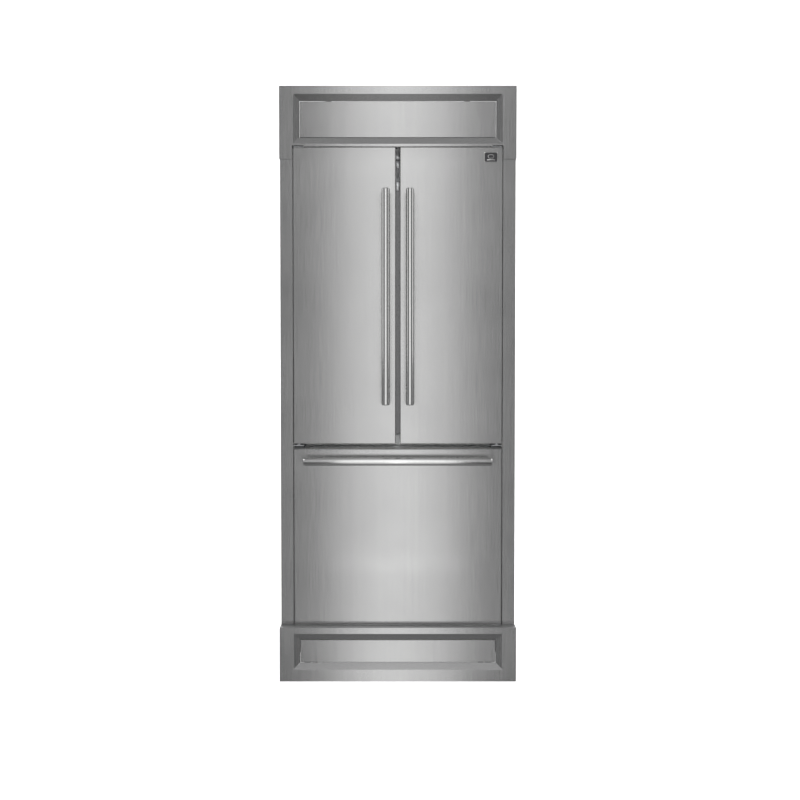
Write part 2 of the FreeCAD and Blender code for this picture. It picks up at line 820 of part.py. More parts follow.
def door(side, name):
    across = at(side, "pivot_across")
    face_x = span(side, "door_inner", "door_outer")
    inside_x = grown(face_x, "-skin_sheet")
    inside_z = grown(("door_low", "door_high"), "-skin_sheet")

    bushes = [
        rod("bush_radius", "z", across, "pivot_front", ("door_low", "door_low + pin_reach + 4")),
        rod("bush_radius - 0.5", "z", across, "pivot_front", ("door_high - pin_reach - 4", "door_high")),
    ]
    bores = [
        rod("pin_radius + pin_clearance", "z", across, "pivot_front", ends)
        for ends in (("door_low - 1", "door_low + pin_reach + 1"), ("door_high - pin_reach - 1", "door_high + 1"))
    ]
    skin = skin_body(name + "_door_pan", face_x, "door_low", "door_high")
    sub_part(name + "_door_skin", cut(fuse([skin] + bushes), bores))

    foam_y = ("door_face + skin_sheet + 0.2", "door_rear - 2")
    foam = box(grown(inside_x, "-0.4"), foam_y, grown(inside_z, "-0.4"))
    bush_room = span(side, "door_outer - 30", "door_outer")
    relief = [
        box(bush_room, ("door_face", "pivot_front + 9"), ends)
        for ends in (("door_low", "door_low + pin_reach + 5"), ("door_high - pin_reach - 5", "door_high"))
    ]
    bend_y = ("door_face", "door_face + 3.5")
    relief += [
        box(span(side, low, high), bend_y, ("door_low", "door_high"))
        for low, high in (("door_inner", "door_inner + 4"), ("door_outer - 4", "door_outer"))
    ]
    relief += [
        box(face_x, bend_y, ends)
        for ends in (("door_low", "door_low + 4"), ("door_high - 4", "door_high"))
    ]
    sub_part(name + "_door_foam", cut(foam, relief))

    ridge_x = span(side, "ridge_inner", "ridge_outer")
    tray = liner_tray(inside_x, inside_z, ridge_x, ("ridge_low", "ridge_high"), "ridge_rear")
    if side < 0:
        tray = fuse([tray] + [flipper_eye(height) for height in FLIPPER_LUG_HEIGHTS])
    sub_part(name + "_door_liner", tray)

    seal_y = ("door_rear", "cabinet_front - gasket_gap")
    seal_x = span(side, "door_inner + gasket_inset", "gasket_outer")
    seal_z = grown(("door_low", "door_high"), "-gasket_inset")
    sub_part(name + "_door_gasket", ring(seal_x, seal_y, seal_z, "gasket_wide"))
    door_handle(name + "_door_handle", side)
    door_bins(name + "_door_bins", side)


def centre_mullion():
    """The flipper that both door gaskets seal on. It folds back on the left door."""
    across, back = "flipper_pin_across", "flipper_pin_back"
    x = ("-flipper_half", "flipper_half")
    z = ("flipper_low", "flipper_high")
    blade = box(x, ("flipper_front", "flipper_rear"), z)
    hollow_y = grown(("flipper_front", "flipper_rear"), "-flipper_wall")
    hollow = box(grown(x, "-flipper_wall"), hollow_y, grown(z, "-6"))
    knuckles = []
    for height in FLIPPER_LUG_HEIGHTS:
        ends = (f"{height} - knuckle_tall", f"{height} + knuckle_tall")
        for tall in ((ends[0], f"{height} - eye_tall - 0.4"), (f"{height} + eye_tall + 0.4", ends[1])):
            knuckles.append(rod("knuckle_radius", "z", across, back, tall))
            knuckles.append(box((across, "-flipper_half + 2"), (f"{back} - 3", f"{back} + 3"), tall))
        knuckles.append(rod("flipper_pin", "z", across, back, ends))
    cam_y = ("flipper_front + 3", "flipper_rear - 2")
    cam = box(("-6", "6"), cam_y, ("flipper_high", "flipper_high + 2.5"))
    return sub_part("centre_mullion", cut(fuse([blade, cam] + knuckles), [hollow]))


def badge():
    """A blank plate in a raised rim."""
    x, z = ("badge_left", "badge_right"), ("badge_low", "badge_high")
    plate = box(x, ("door_face - badge_proud", "door_face"), z)
    sunk = box(grown(x, "-2"), ("door_face - 2", "door_face - badge_proud + 0.4"), grown(z, "-2"))
    return sub_part("badge", cut(plate, [sunk]))


def drawer():
    x = ("-door_outer", "door_outer")
    low, high = "drawer_low", "drawer_high"
    skin = skin_body("drawer_skin", x, low, high, top_bevel="drawer_bevel")
    sub_part("drawer_skin", skin)
    inside_x = grown(x, "-skin_sheet")
    inside_z = grown((low, high), "-skin_sheet")
    foam_y = ("door_face + skin_sheet + 0.2", "door_rear - 2")
    foam = box(grown(inside_x, "-0.4"), foam_y, grown(inside_z, "-0.4"))
    bend_y = ("door_face", "door_face + 3.5")
    relief = [box(span(side, "door_outer - 4", "door_outer"), bend_y, (low, high)) for side in SIDES]
    relief.append(box(x, bend_y, (low, f"{low} + 4")))
    relief.append(box(x, ("door_face", "door_face + drawer_bevel + 1"), (f"{high} - drawer_bevel - 1", high)))
    sub_part("drawer_foam", cut(foam, relief))

    ridge_x = ("-liner_half + 8", "liner_half - 8")
    ridge_z = ("freezer_low + 10", "freezer_high - 10")
    sub_part("drawer_liner", liner_tray(inside_x, inside_z, ridge_x, ridge_z, "door_rear + 25"))
    seal_y = ("door_rear", "cabinet_front - gasket_gap")
    seal_z = ("drawer_low + 6", "drawer_high - 10")
    sub_part("drawer_gasket", ring(grown(x, "-gasket_inset"), seal_y, seal_z, "gasket_wide"))
    drawer_handle()


def drawer_handle():
    """A bar that lies across the drawer, on two posts."""
    bar = rounded_bar("drawer_handle_bar", "XY_Plane", "drawer_handle_half")
    bar.Placement.Rotation = FreeCAD.Rotation(FreeCAD.Vector(0, 0, 1), 90)
    bar.setExpression("Placement.Base.y", linked("handle_front"))
    bar.setExpression("Placement.Base.z", linked("drawer_handle_high"))
    posts = []
    for x_post in ("-drawer_handle_half + post_inset", "drawer_handle_half - post_inset"):
        height = "drawer_handle_high"
        posts.append(rod("post_radius", "y", x_post, ("handle_front", "door_face"), height))
        posts.append(rod("post_radius + 0.6", "y", x_post, ("door_face - 3", "door_face"), height))
    sub_part("drawer_handle", fuse([bar] + posts))


# ---------------------------------------------------------------- freezer inside


def tub(x, y, low, high, wall, lip=0, slots=()):
    """An open-topped bin, with an outward rim when it has a lip."""
    outer = box(x, y, (low, high))
    inner = box(grown(x, f"-({wall})"), grown(y, f"-({wall})"), (f"{low} + {wall}", f"{high} + 1"))
    pieces = [outer]
    if lip:
        pieces.append(box(grown(x, lip), grown(y, "0"), (f"{high} - {wall}", high)))
    return cut(fuse(pieces) if lip else outer, [inner] + list(slots))


def freezer_bins():
    x = ("-basket_half", "basket_half")
    y = ("basket_front", "basket_rear")
    first, pitch, wide, tall = -252, 58, 40, 14
    slots = [
        box((left, left + wide), grown(y, "1"), (f"basket_low + {up}", f"basket_low + {up + tall}"))
        for left in range(first, first + 9 * pitch, pitch)
        for up in (60, 100)
    ]
    sub_part("lower_basket", tub(x, y, "basket_low", "basket_high", "basket_wall", slots=slots))

    y = ("basket_front + 4", "tray_rear")
    sub_part("upper_tray", tub(grown(x, "-2"), y, "basket_high + 0.5", "tray_high", "basket_wall"))


def channel(side, near, far, y, z):
    """A C-shaped slide rail, open towards the middle of the cabinet."""
    hollow_x = span(side, f"{near} - 1", f"{far} - slide_sheet")
    hollow = box(hollow_x, grown(y, "1"), grown(z, "-slide_sheet"))
    return cut(box(span(side, near, far), y, z), [hollow])


def drawer_slides():
    """Outer rails on the liner, middle rails, and inner rails on the drawer."""
    outer_y, z = ("slide_front", "slide_rear"), ("rail_low", "rail_high")
    middle_y = grown(outer_y, "-1")
    front, rear = "door_rear + 25", "slide_rear - 5"
    near = "basket_half + 0.5"
    outers, middles, inners = [], [], []
    for side in SIDES:
        outers.append(channel(side, "liner_half - 13", "liner_half", outer_y, z))
        middles.append(channel(side, "liner_half - 16", "liner_half - 2.5", middle_y, grown(z, "-3")))
        bar = box(span(side, near, "liner_half - 5"), (front, rear), grown(z, "-6"))
        foot = box(span(side, near, "liner_half - 19"), (front, rear), ("rail_low - 20", "rail_high - 6"))
        inners.append(fuse([bar, foot]))
    sub_part("drawer_outer_rails", group(outers))
    sub_part("drawer_middle_rails", group(middles))
    sub_part("drawer_inner_rails", group(inners))


# ---------------------------------------------------------------- fresh food inside


def shelves():
    frames, panes = [], []
    x = ("-shelf_half", "shelf_half")
    y = ("shelf_front", "shelf_rear")
    for height in SHELF_HEIGHTS:
        z = (f"{height}", f"{height} + shelf_tall")
        frame = ring_flat(x, y, z, "14")
        seat = box(grown(x, "-8"), grown(y, "-8"), (f"{height} + 5", f"{height} + shelf_tall - 4"))
        frames.append(cut(frame, [seat]))
        pane_z = (f"{height} + 5.2", f"{height} + shelf_tall - 4.2")
        panes.append(box(grown(x, "-8.2"), grown(y, "-8.2"), pane_z))
    sub_part("shelf_frames", group(frames))
    sub_part("shelf_glass", group(panes))

    height = CRISPER_COVER_Z
    cover = box(x, y, (f"{height}", f"{height} + 12"))
    sunk = box(grown(x, "-12"), grown(y, "-12"), (f"{height} + 8", f"{height} + 13"))
    under = box(grown(x, "-3"), grown(y, "-3"), (f"{height} - 1", f"{height} + 5"))
    rib = box(("-3", "3"), grown(y, "-1"), (f"{height}", f"{height} + 8"))
    sub_part("crisper_cover", fuse([cut(cover, [sunk, under]), rib]))


def ring_flat(x, y, z, wide):
    """A frame that lies flat."""
    hole = box(grown(x, f"-{wide}"), grown(y, f"-{wide}"), grown(z, "1"))
    return cut(box(x, y, z), [hole])


def crispers():
    for side, label in ((-1, "left_crisper"), (1, "right_crisper")):
        x = span(side, "5", "shelf_half - 3")
        y = ("crisper_front", "crisper_rear")
        bin_shape = tub(x, y, "crisper_low", "crisper_high", "crisper_wall")
        grip_x = span(side, "grip_near", "grip_far")
        grip_front, grip_high = "crisper_front - grip_deep", "crisper_high - grip_drop"
        pull = box(grip_x, (grip_front, "crisper_front + 1"), (f"{grip_high} - 4", grip_high))
        hook = box(grip_x, (grip_front, f"{grip_front} + 3"), (f"{grip_high} - 22", grip_high))
        sub_part(label, fuse([bin_shape, pull, hook]))


def fresh_food_fittings():
    duct_y = ("liner_rear - duct_deep", "liner_rear")
    duct = box(("-duct_half", "duct_half"), duct_y, ("duct_low", "duct_high"))
    vent_wide, vent_tall, vent_pitch = 45, 6, 14
    vents = [
        box((x, x + vent_wide), ("liner_rear - duct_deep - 1", "liner_rear - 9"), (z, z + vent_tall))
        for height in DUCT_VENT_HEIGHTS
        for z in range(height, height + 3 * vent_pitch, vent_pitch)
        for x in (-62, 17)
    ]
    sub_part("air_duct", cut(duct, vents))
    panel_y = ("panel_front", "panel_rear")
    housing = box(("-panel_half", "panel_half"), panel_y, ("fresh_high - panel_tall", "fresh_high"))
    window_y = ("panel_front - 1", "panel_front + 3")
    window = box(("-window_half", "window_half"), window_y, ("fresh_high - panel_tall + 3", "fresh_high - 3"))
    sub_part("control_panel", cut(housing, [window]))
    lens_y = ("lens_front", "lens_rear")
    sub_part("light_lens", box(("-lens_half", "lens_half"), lens_y, ("fresh_high - lens_tall", "fresh_high")))


# ---------------------------------------------------------------- cooling


def fin_coil(label, half, y, z, count, tube_places, tube_heights):
    """A block of thin fins on straight tubes."""
    pitch = f"2 * {half} / {count - 1}"
    fins = [
        box((f"-{half} + {i} * {pitch} - fin_sheet / 2", f"-{half} + {i} * {pitch} + fin_sheet / 2"), y, z)
        for i in range(count)
    ]
    reach = (f"-{half} - tube_reach", f"{half} + tube_reach")
    runs = [rod("coil_tube", "x", reach, place, height) for place in tube_places for height in tube_heights]
    return sub_part(label, fuse(fins + runs))


def fan_ring(front, height):
    """The solid and the hollow of the ring round a fan's blades."""
    solid = rod("fan_radius + fan_gap + 2", "y", "0", (front, f"{front} + 24"), height)
    hollow = rod("fan_radius + fan_gap", "y", "0", (f"{front} - 1", f"{front} + 25"), height)
    return solid, hollow


def add_motor(base, front, rear, height):
    """Hangs a motor on four struts behind a fan's ring, and bores it for the shaft."""
    reach, half = 60, 3
    arm_y = (f"{front} + 26", f"{front} + 31")
    lug_y = (f"{front} + 23", f"{front} + 31")
    arms = [
        box((-half, half), arm_y, grown((height, height), reach)),
        box((-reach, reach), arm_y, grown((height, height), half)),
    ]
    for x, z in ((0, 2 - reach), (0, reach - 2), (2 - reach, 0), (reach - 2, 0)):
        arms.append(box((x - half, x + half), lug_y, (f"{height} + ({z - half})", f"{height} + ({z + half})")))
    motor = rod("motor_radius", "y", "0", (f"{front} + 26", rear), height)
    bore = rod("fan_shaft + shaft_fit", "y", "0", (f"{front} + 25", f"{front} + 35"), height)
    return cut(fuse([base, motor] + arms), [bore])


def evaporator_cover():
    """A pan over the coil, with air slots below and a fan in its upper half."""
    x, z = ("-cover_half", "cover_half"), ("cover_low", "cover_high")
    behind = "cover_front + cover_sheet"
    through = ("cover_front - 1", f"{behind} + 1")
    folds = [box(x, ("cover_front", behind), z)]
    for side in SIDES:
        folds.append(box(span(side, "cover_half - cover_sheet", "cover_half"), (behind, "liner_rear"), z))
    for ends in (("cover_low", "cover_low + cover_sheet"), ("cover_high - cover_sheet", "cover_high")):
        folds.append(box(x, (behind, "liner_rear"), ends))
    slots = [
        box((x_slot, x_slot + 60), through, (f"cover_low + {up}", f"cover_low + {up + 5}"))
        for up in (30, 45, 60)
        for x_slot in range(-260, 200, 90)
    ]
    ring_solid, ring_hollow = fan_ring("cover_front", "freezer_fan_high")
    pan = cut(fuse(folds + [ring_solid]), [ring_hollow] + slots)
    sub_part("evaporator_cover", add_motor(pan, "cover_front", "liner_rear - 1", "freezer_fan_high"))


def condenser_fan_mount():
    """An upright plate on a foot, with a ring and a motor."""
    x = ("-mount_half", "mount_half")
    top = "machine_fan_high + mount_half"
    low = "machine_fan_high - mount_half"
    plate = box(x, ("mount_front", "mount_front + 3"), (low, top))
    foot = box(x, ("mount_front", "mount_front + 40"), ("cabinet_floor + plate_sheet", low))
    ring_solid, ring_hollow = fan_ring("mount_front", "machine_fan_high")
    base = cut(fuse([plate, ring_solid, foot]), [ring_hollow])
    sub_part("condenser_fan_mount", add_motor(base, "mount_front", "mount_front + 55", "machine_fan_high"))


def fan(label, front, height):
    """A hub with five pitched blades on a shaft that points to the back."""
    start, back, up = FreeCAD.Vector(), FreeCAD.Vector(0, 1, 0), FreeCAD.Vector(0, 0, 1)
    radius, hub_radius = number("fan_radius"), number("fan_hub")
    wide, thick = number("blade_wide"), number("blade_sheet")
    root = hub_radius - 4
    rotor = Part.makeCylinder(hub_radius, hub_radius, start, back)
    rotor = rotor.fuse(Part.makeCylinder(number("fan_shaft"), number("shaft_long"), start, back))
    for i in range(5):
        corner = FreeCAD.Vector(-wide / 2, -thick / 2, root)
        blade = Part.makeBox(wide, thick, radius - root - 1, corner)
        blade.rotate(start, up, number("blade_pitch"))
        blade.translate(back * (hub_radius / 2))
        blade.rotate(start, back, 72 * i)
        rotor = rotor.fuse(blade)
    swept = Part.makeCylinder(radius, 40, FreeCAD.Vector(0, -10, 0), back)
    item = document.addObject("Part::Feature", label)
    item.Shape = rotor.common(swept).removeSplitter()
    item.Placement.Base = FreeCAD.Vector(0, number(front), number(height))
    return sub_part(label, item)


def cooling():
    fin_coil(
        "evaporator", "coil_half", ("coil_front", "coil_rear"), ("coil_low", "coil_high"), 25,
        ("(coil_front + coil_rear) / 2",), (445, 475, 505, 535),
    )
    fin_coil(
        "condenser", "condenser_half", ("condenser_front", "condenser_rear"),
        ("condenser_low", "condenser_high"), 29, (-115, -45, 25), (110, 150),
    )
    evaporator_cover()
    condenser_fan_mount()
    fan("evaporator_fan", "cover_front + 6", "freezer_fan_high")
    fan("condenser_fan", "mount_front + 6", "machine_fan_high")


def compressor():
    """A welded steel can on a foot plate with four grommets and two stubs."""
    body = body_named("compressor_can")
    outline = [
        ("0", "0"), ("70", "0"), ("84", "10"), ("88", "22"), ("88", "92"), ("86", "108"),
        ("74", "138"), ("50", "158"), ("24", "166"), ("0", "168"),
    ]
    drawn = sketch(body, "XZ_Plane", "0", outline)
    turned = body.newObject("PartDesign::Revolution", "turned")
    turned.Profile = drawn
    turned.ReferenceAxis = (drawn, ["V_Axis"])
    turned.Angle = 360
    document.recompute()
    for axis, place in (("x", "can_across"), ("y", "can_back"), ("z", "can_low")):
        body.setExpression("Placement.Base." + axis, linked(place))
    plate_x = ("can_across - 90", "can_across + 90")
    plate_y = ("can_back - 86", "can_back + 86")
    plate = box(plate_x, plate_y, ("can_low - 3", "can_low + 1"))
    grommets = [
        rod("11", "z", f"can_across + {x}", f"can_back + {y}", ("cabinet_floor + plate_sheet", "can_low - 3"))
        for x in (-77, 77)
        for y in (-72, 72)
    ]
    stub_x = ("can_across - 115", "can_across - 75")
    stubs = [
        rod("5", "x", stub_x, "can_back", "can_low + 94"),
        rod("3.5", "x", stub_x, "can_back - 17", "can_low + 64"),
    ]
    return sub_part("compressor", fuse([body, plate] + grommets + stubs))


def drain_pan():
    """A shallow tray that catches the defrost water."""
    x, y = ("pan_left", "pan_right"), ("pan_front", "pan_rear")
    floor = "cabinet_floor + plate_sheet"
    return sub_part("drain_pan", tub(x, y, f"{floor} + 2", f"{floor} + 34", "2", lip="3"))


def inlet_box(half_wide, half_tall, front, rear):
    """A block about the power inlet's middle, placed by its distance before the cabinet's rear."""
    return box(
        (f"inlet_across - {half_wide}", f"inlet_across + {half_wide}"),
        (f"cabinet_rear - {front}", f"cabinet_rear - {rear}"),
        (f"inlet_high - {half_tall}", f"inlet_high + {half_tall}"),
    )


def machine_cover():
    """The louvred sheet over the machine space, with a hole for the power inlet."""
    y = ("cabinet_rear - 5", "cabinet_rear - 3.8")
    cover_z = ("cabinet_floor + plate_sheet", "machine_high - 1")
    cover = box(("-cabinet_half + 2", "cabinet_half - 2"), y, cover_z)
    louvres = [
        box((x, x + 50), ("cabinet_rear - 6", "cabinet_rear"), (z, z + 6))
        for z in range(120, 240, 16)
        for x in range(-200, 230, 70)
    ]
    return sub_part("machine_cover", cut(cover, louvres + [inlet_box(24, 16, 6, 0)]))


def power_inlet():
    """A flanged three-pin inlet."""
    flange = inlet_box(32, 22, 3.8, 1.5)
    housing = inlet_box(23, 15, 30, 3.8)
    well = inlet_box(16, 9, 22, 0)
    pins = [
        box(
            (f"inlet_across + {x}", f"inlet_across + {x + 4}"), ("cabinet_rear - 23", "cabinet_rear - 8"),
            (f"inlet_high + {z}", f"inlet_high + {z + 2}"),
        )
        for x, z in ((-10, -3), (6, -3), (-2, 3))
    ]
    return sub_part("power_inlet", fuse([cut(fuse([flange, housing]), [well])] + pins))


def levelling_feet():
    feet = []
    for x in ("-foot_across", "foot_across"):
        for y in ("foot_front", "foot_rear"):
            feet.append(fuse([
                rod("20", "z", x, y, ("0", "9")),
                rod("13", "z", x, y, ("9", "15")),
                rod("5.5", "z", x, y, ("15", "cabinet_floor")),
                rod("11", "z", x, y, ("cabinet_floor - 8", "cabinet_floor")),
            ]))
    return sub_part("levelling_feet", group(feet))


# ---------------------------------------------------------------- build and write

cabinet()
fresh_food_liner()
freezer_liner()
cabinet_insulation()
trim_kit()
hinges()
door(-1, "left")
door(1, "right")
centre_mullion()
badge()
drawer()
freezer_bins()
drawer_slides()
shelves()
crispers()
fresh_food_fittings()
cooling()
compressor()
drain_pan()
machine_cover()
power_inlet()
levelling_feet()
document.recompute()

for item in document.Objects:
    if "Invalid" in item.State or "Error" in item.State:
        raise RuntimeError(f"{item.Label} is {item.State}")
for label, item in sub_parts.items():
    if item.Shape.isNull() or not item.Shape.isValid():
        raise RuntimeError(f"{label} has no valid shape")

os.makedirs("parts", exist_ok=True)
for label, item in sub_parts.items():
    item.Shape.exportStep(f"parts/{label}.step")
print(len(sub_parts), "sub-parts written")
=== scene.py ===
import json
import math

import bmesh
import bpy
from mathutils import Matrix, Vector


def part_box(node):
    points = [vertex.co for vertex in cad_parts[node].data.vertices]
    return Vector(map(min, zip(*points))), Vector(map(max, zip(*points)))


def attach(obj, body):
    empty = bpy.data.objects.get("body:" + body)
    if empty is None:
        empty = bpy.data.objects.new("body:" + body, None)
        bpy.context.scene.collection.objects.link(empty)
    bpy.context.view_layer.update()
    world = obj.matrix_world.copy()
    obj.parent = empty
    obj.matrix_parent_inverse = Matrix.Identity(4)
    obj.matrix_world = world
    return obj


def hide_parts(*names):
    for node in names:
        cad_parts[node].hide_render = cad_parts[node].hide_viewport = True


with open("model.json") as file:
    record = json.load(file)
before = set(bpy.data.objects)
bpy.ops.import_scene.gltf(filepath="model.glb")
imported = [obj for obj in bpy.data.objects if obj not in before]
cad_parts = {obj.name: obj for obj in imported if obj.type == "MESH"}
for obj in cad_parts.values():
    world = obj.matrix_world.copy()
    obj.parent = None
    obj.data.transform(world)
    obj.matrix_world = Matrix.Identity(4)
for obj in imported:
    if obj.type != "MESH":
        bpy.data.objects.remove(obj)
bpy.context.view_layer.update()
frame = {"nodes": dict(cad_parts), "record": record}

# A built-in style french door refrigerator with a stainless trim kit. Metres, in the frame of
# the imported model: X across, -Y towards the person at the doors, +Z up.

MM = 0.001
scene = bpy.context.scene
NODES = frame["nodes"]


# ---------------------------------------------------------------- node helpers


def new_material(name):
    """An empty node material, with its node tree and its principled shader."""
    material = bpy.data.materials.new(name)
    material.use_nodes = True
    tree = material.node_tree
    tree.nodes.clear()
    output = tree.nodes.new("ShaderNodeOutputMaterial")
    shader = tree.nodes.new("ShaderNodeBsdfPrincipled")
    tree.links.new(shader.outputs["BSDF"], output.inputs["Surface"])
    return material, tree, shader


def noise(tree, scale, detail=2.0, rough=0.5, stretch=(1, 1, 1)):
    """A noise pattern in metres, stretched along the axes."""
    place = tree.nodes.new("ShaderNodeTexCoord")
    mapping = tree.nodes.new("ShaderNodeMapping")
    mapping.inputs["Scale"].default_value = stretch
    pattern = tree.nodes.new("ShaderNodeTexNoise")
    pattern.inputs["Scale"].default_value = scale
    pattern.inputs["Detail"].default_value = detail
    pattern.inputs["Roughness"].default_value = rough
    tree.links.new(place.outputs["Object"], mapping.inputs["Vector"])
    tree.links.new(mapping.outputs["Vector"], pattern.inputs["Vector"])
    return pattern.outputs["Fac"]


def spread(tree, value, low, high, start=0.0, end=1.0):
    """Maps a pattern's range to another range."""
    node = tree.nodes.new("ShaderNodeMapRange")
    node.inputs["From Min"].default_value = start
    node.inputs["From Max"].default_value = end
    node.inputs["To Min"].default_value = low
    node.inputs["To Max"].default_value = high
    tree.links.new(value, node.inputs["Value"])
    return node.outputs["Result"]


def blend_colors(tree, factor, first, second):
    """A mix of two colours by a factor."""
    node = tree.nodes.new("ShaderNodeMix")
    node.data_type = "RGBA"
    node.inputs["A"].default_value = (*first, 1)
    node.inputs["B"].default_value = (*second, 1)
    tree.links.new(factor, node.inputs["Factor"])
    return node.outputs["Result"]


def multiply_colors(tree, factor, first, second):
    """The first colour darkened by the second, as far as the factor says."""
    node = tree.nodes.new("ShaderNodeMix")
    node.data_type = "RGBA"
    node.blend_type = "MULTIPLY"
    if isinstance(factor, float):
        node.inputs["Factor"].default_value = factor
    else:
        tree.links.new(factor, node.inputs["Factor"])
    tree.links.new(first, node.inputs["A"])
    tree.links.new(second, node.inputs["B"])
    return node.outputs["Result"]


def math_node(tree, operation, *values):
    """The result of a math node on linked values."""
    node = tree.nodes.new("ShaderNodeMath")
    node.operation = operation
    for socket, value in zip(node.inputs, values):
        tree.links.new(value, socket)
    return node.outputs["Value"]


def bump(tree, shader, height, strength, depth):
    """Raises the surface by a pattern, up to depth in metres."""
    node = tree.nodes.new("ShaderNodeBump")
    node.inputs["Strength"].default_value = strength
    node.inputs["Distance"].default_value = depth
    tree.links.new(height, node.inputs["Height"])
    tree.links.new(node.outputs["Normal"], shader.inputs["Normal"])


def scaled(color, by):
    return tuple(min(1.0, c * by) for c in color)


# noise seldom leaves this range, so patterns are stretched from it
NOISE_LOW, NOISE_HIGH = 0.3, 0.7


def tone(tree, pattern, dark, light, low=NOISE_LOW, high=NOISE_HIGH):
    """A colour that drifts between two tones by a pattern."""
    return blend_colors(tree, spread(tree, pattern, 0, 1, low, high), dark, light)


def tint(tree, shader, pattern, dark, light, low=NOISE_LOW, high=NOISE_HIGH):
    """Colours a surface between two tones by a pattern."""
    tree.links.new(tone(tree, pattern, dark, light, low, high), shader.inputs["Base Color"])


def roughen(tree, shader, pattern, low, high):
    """Varies a surface's roughness by a pattern."""
    level = spread(tree, pattern, low, high, NOISE_LOW, NOISE_HIGH)
    tree.links.new(level, shader.inputs["Roughness"])


def cells(tree, scale):
    """A pattern of small cells, in metres."""
    place = tree.nodes.new("ShaderNodeTexCoord")
    pattern = tree.nodes.new("ShaderNodeTexVoronoi")
    pattern.inputs["Scale"].default_value = scale
    tree.links.new(place.outputs["Object"], pattern.inputs["Vector"])
    return pattern


# ---------------------------------------------------------------- materials


# brushed lines: how often they repeat in a metre, across and along
ACROSS_LINES, ALONG_LINES = 900, 7
BROAD_LINES = 9


def brushed_metal(name, color, roughness, anisotropy, grain, streak=0.05):
    """Steel or aluminium with fine drawn lines; grain is the axis that the lines follow."""
    material, tree, shader = new_material(name)
    stretch = tuple(ALONG_LINES if axis == grain else ACROSS_LINES for axis in "xyz")
    lines = noise(tree, 1.0, 3.0, 0.6, stretch)
    broad = noise(tree, 1.0, 2.0, 0.5, tuple(s / BROAD_LINES for s in stretch))
    cloud = noise(tree, 3.5, 3.0, 0.55)
    fine_tone = tone(tree, lines, scaled(color, 1 - streak), scaled(color, 1 + streak))
    broad_tone = tone(tree, broad, (0.97, 0.97, 0.975), (1, 1, 1))
    tree.links.new(multiply_colors(tree, 1.0, fine_tone, broad_tone), shader.inputs["Base Color"])
    shader.inputs["Metallic"].default_value = 1.0
    shader.inputs["Anisotropic"].default_value = anisotropy
    worn_lines = spread(tree, lines, -0.035, 0.035, NOISE_LOW, NOISE_HIGH)
    worn_cloud = spread(tree, cloud, roughness - 0.02, roughness + 0.02, NOISE_LOW, NOISE_HIGH)
    tree.links.new(math_node(tree, "ADD", worn_lines, worn_cloud), shader.inputs["Roughness"])
    tangent = tree.nodes.new("ShaderNodeTangent")
    tangent.direction_type = "RADIAL"
    tangent.axis = "Z"
    tree.links.new(tangent.outputs["Tangent"], shader.inputs["Tangent"])
    bump(tree, shader, lines, 0.05, 0.00004)
    return material


def moulded_plastic(name, color, roughness, grain_scale=1800, grain_depth=0.00005, drifting=0.04):
    """Opaque plastic with a fine moulded grain and slight colour drift."""
    material, tree, shader = new_material(name)
    drift = noise(tree, 5.0, 3.0, 0.5)
    tint(tree, shader, drift, scaled(color, 1 - drifting), color)
    grain = noise(tree, grain_scale, 2.0, 0.5)
    roughen(tree, shader, grain, roughness - 0.05, roughness + 0.05)
    shader.inputs["IOR"].default_value = 1.49
    bump(tree, shader, grain, 0.12, grain_depth)
    return material


def painted_steel(name, color, roughness, metallic=0.0):
    """Sprayed enamel with a faint orange peel, and as metallic as asked."""
    material, tree, shader = new_material(name)
    drift = noise(tree, 2.2, 3.0, 0.5)
    tint(tree, shader, drift, scaled(color, 0.95), scaled(color, 1.03))
    peel = noise(tree, 420, 2.0, 0.4)
    roughen(tree, shader, peel, roughness - 0.04, roughness + 0.05)
    shader.inputs["Metallic"].default_value = metallic
    shader.inputs["Coat Weight"].default_value = 0.25
    shader.inputs["Coat Roughness"].default_value = 0.22
    bump(tree, shader, peel, 0.1, 0.0001)
    return material


def galvanised(name, color, roughness):
    """Zinc-coated sheet with soft spangles."""
    material, tree, shader = new_material(name)
    split = tree.nodes.new("ShaderNodeSeparateColor")
    tree.links.new(cells(tree, 85).outputs["Color"], split.inputs["Color"])
    facet = split.outputs["Red"]
    facets = blend_colors(tree, facet, scaled(color, 0.88), scaled(color, 1.08))
    tree.links.new(facets, shader.inputs["Base Color"])
    tree.links.new(spread(tree, facet, roughness - 0.07, roughness + 0.07), shader.inputs["Roughness"])
    shader.inputs["Metallic"].default_value = 1.0
    scratch = noise(tree, 1.0, 3.0, 0.6, (260, 260, 40))
    bump(tree, shader, scratch, 0.06, 0.00008)
    return material


def clear_plastic(name, color, roughness, clearness):
    """Clear or lightly smoked styrene."""
    material, tree, shader = new_material(name)
    haze = noise(tree, 40, 3.0, 0.5)
    tint(tree, shader, haze, scaled(color, 0.97), color)
    roughen(tree, shader, haze, roughness * 0.7, roughness * 1.4)
    shader.inputs["Transmission Weight"].default_value = clearness
    shader.inputs["IOR"].default_value = 1.45
    ripple = noise(tree, 22, 1.0, 0.4)
    bump(tree, shader, ripple, 0.04, 0.0004)
    return material


def rubber(name, color, roughness):
    """Matt rubber with a little dust."""
    material, tree, shader = new_material(name)
    dust = noise(tree, 60, 4.0, 0.6)
    tint(tree, shader, dust, color, scaled(color, 1.35), 0.35, 0.75)
    roughen(tree, shader, dust, roughness - 0.08, roughness + 0.08)
    shader.inputs["Specular IOR Level"].default_value = 0.35
    bump(tree, shader, noise(tree, 900, 2.0, 0.5), 0.15, 0.0001)
    return material


def foamed(name, color):
    """Cut polyurethane foam: small cells and uneven yellowing."""
    material, tree, shader = new_material(name)
    drift = noise(tree, 7, 4.0, 0.6)
    tint(tree, shader, drift, scaled(color, 0.85), color)
    shader.inputs["Roughness"].default_value = 0.9
    bump(tree, shader, cells(tree, 600).outputs["Distance"], 0.6, 0.0006)
    return material


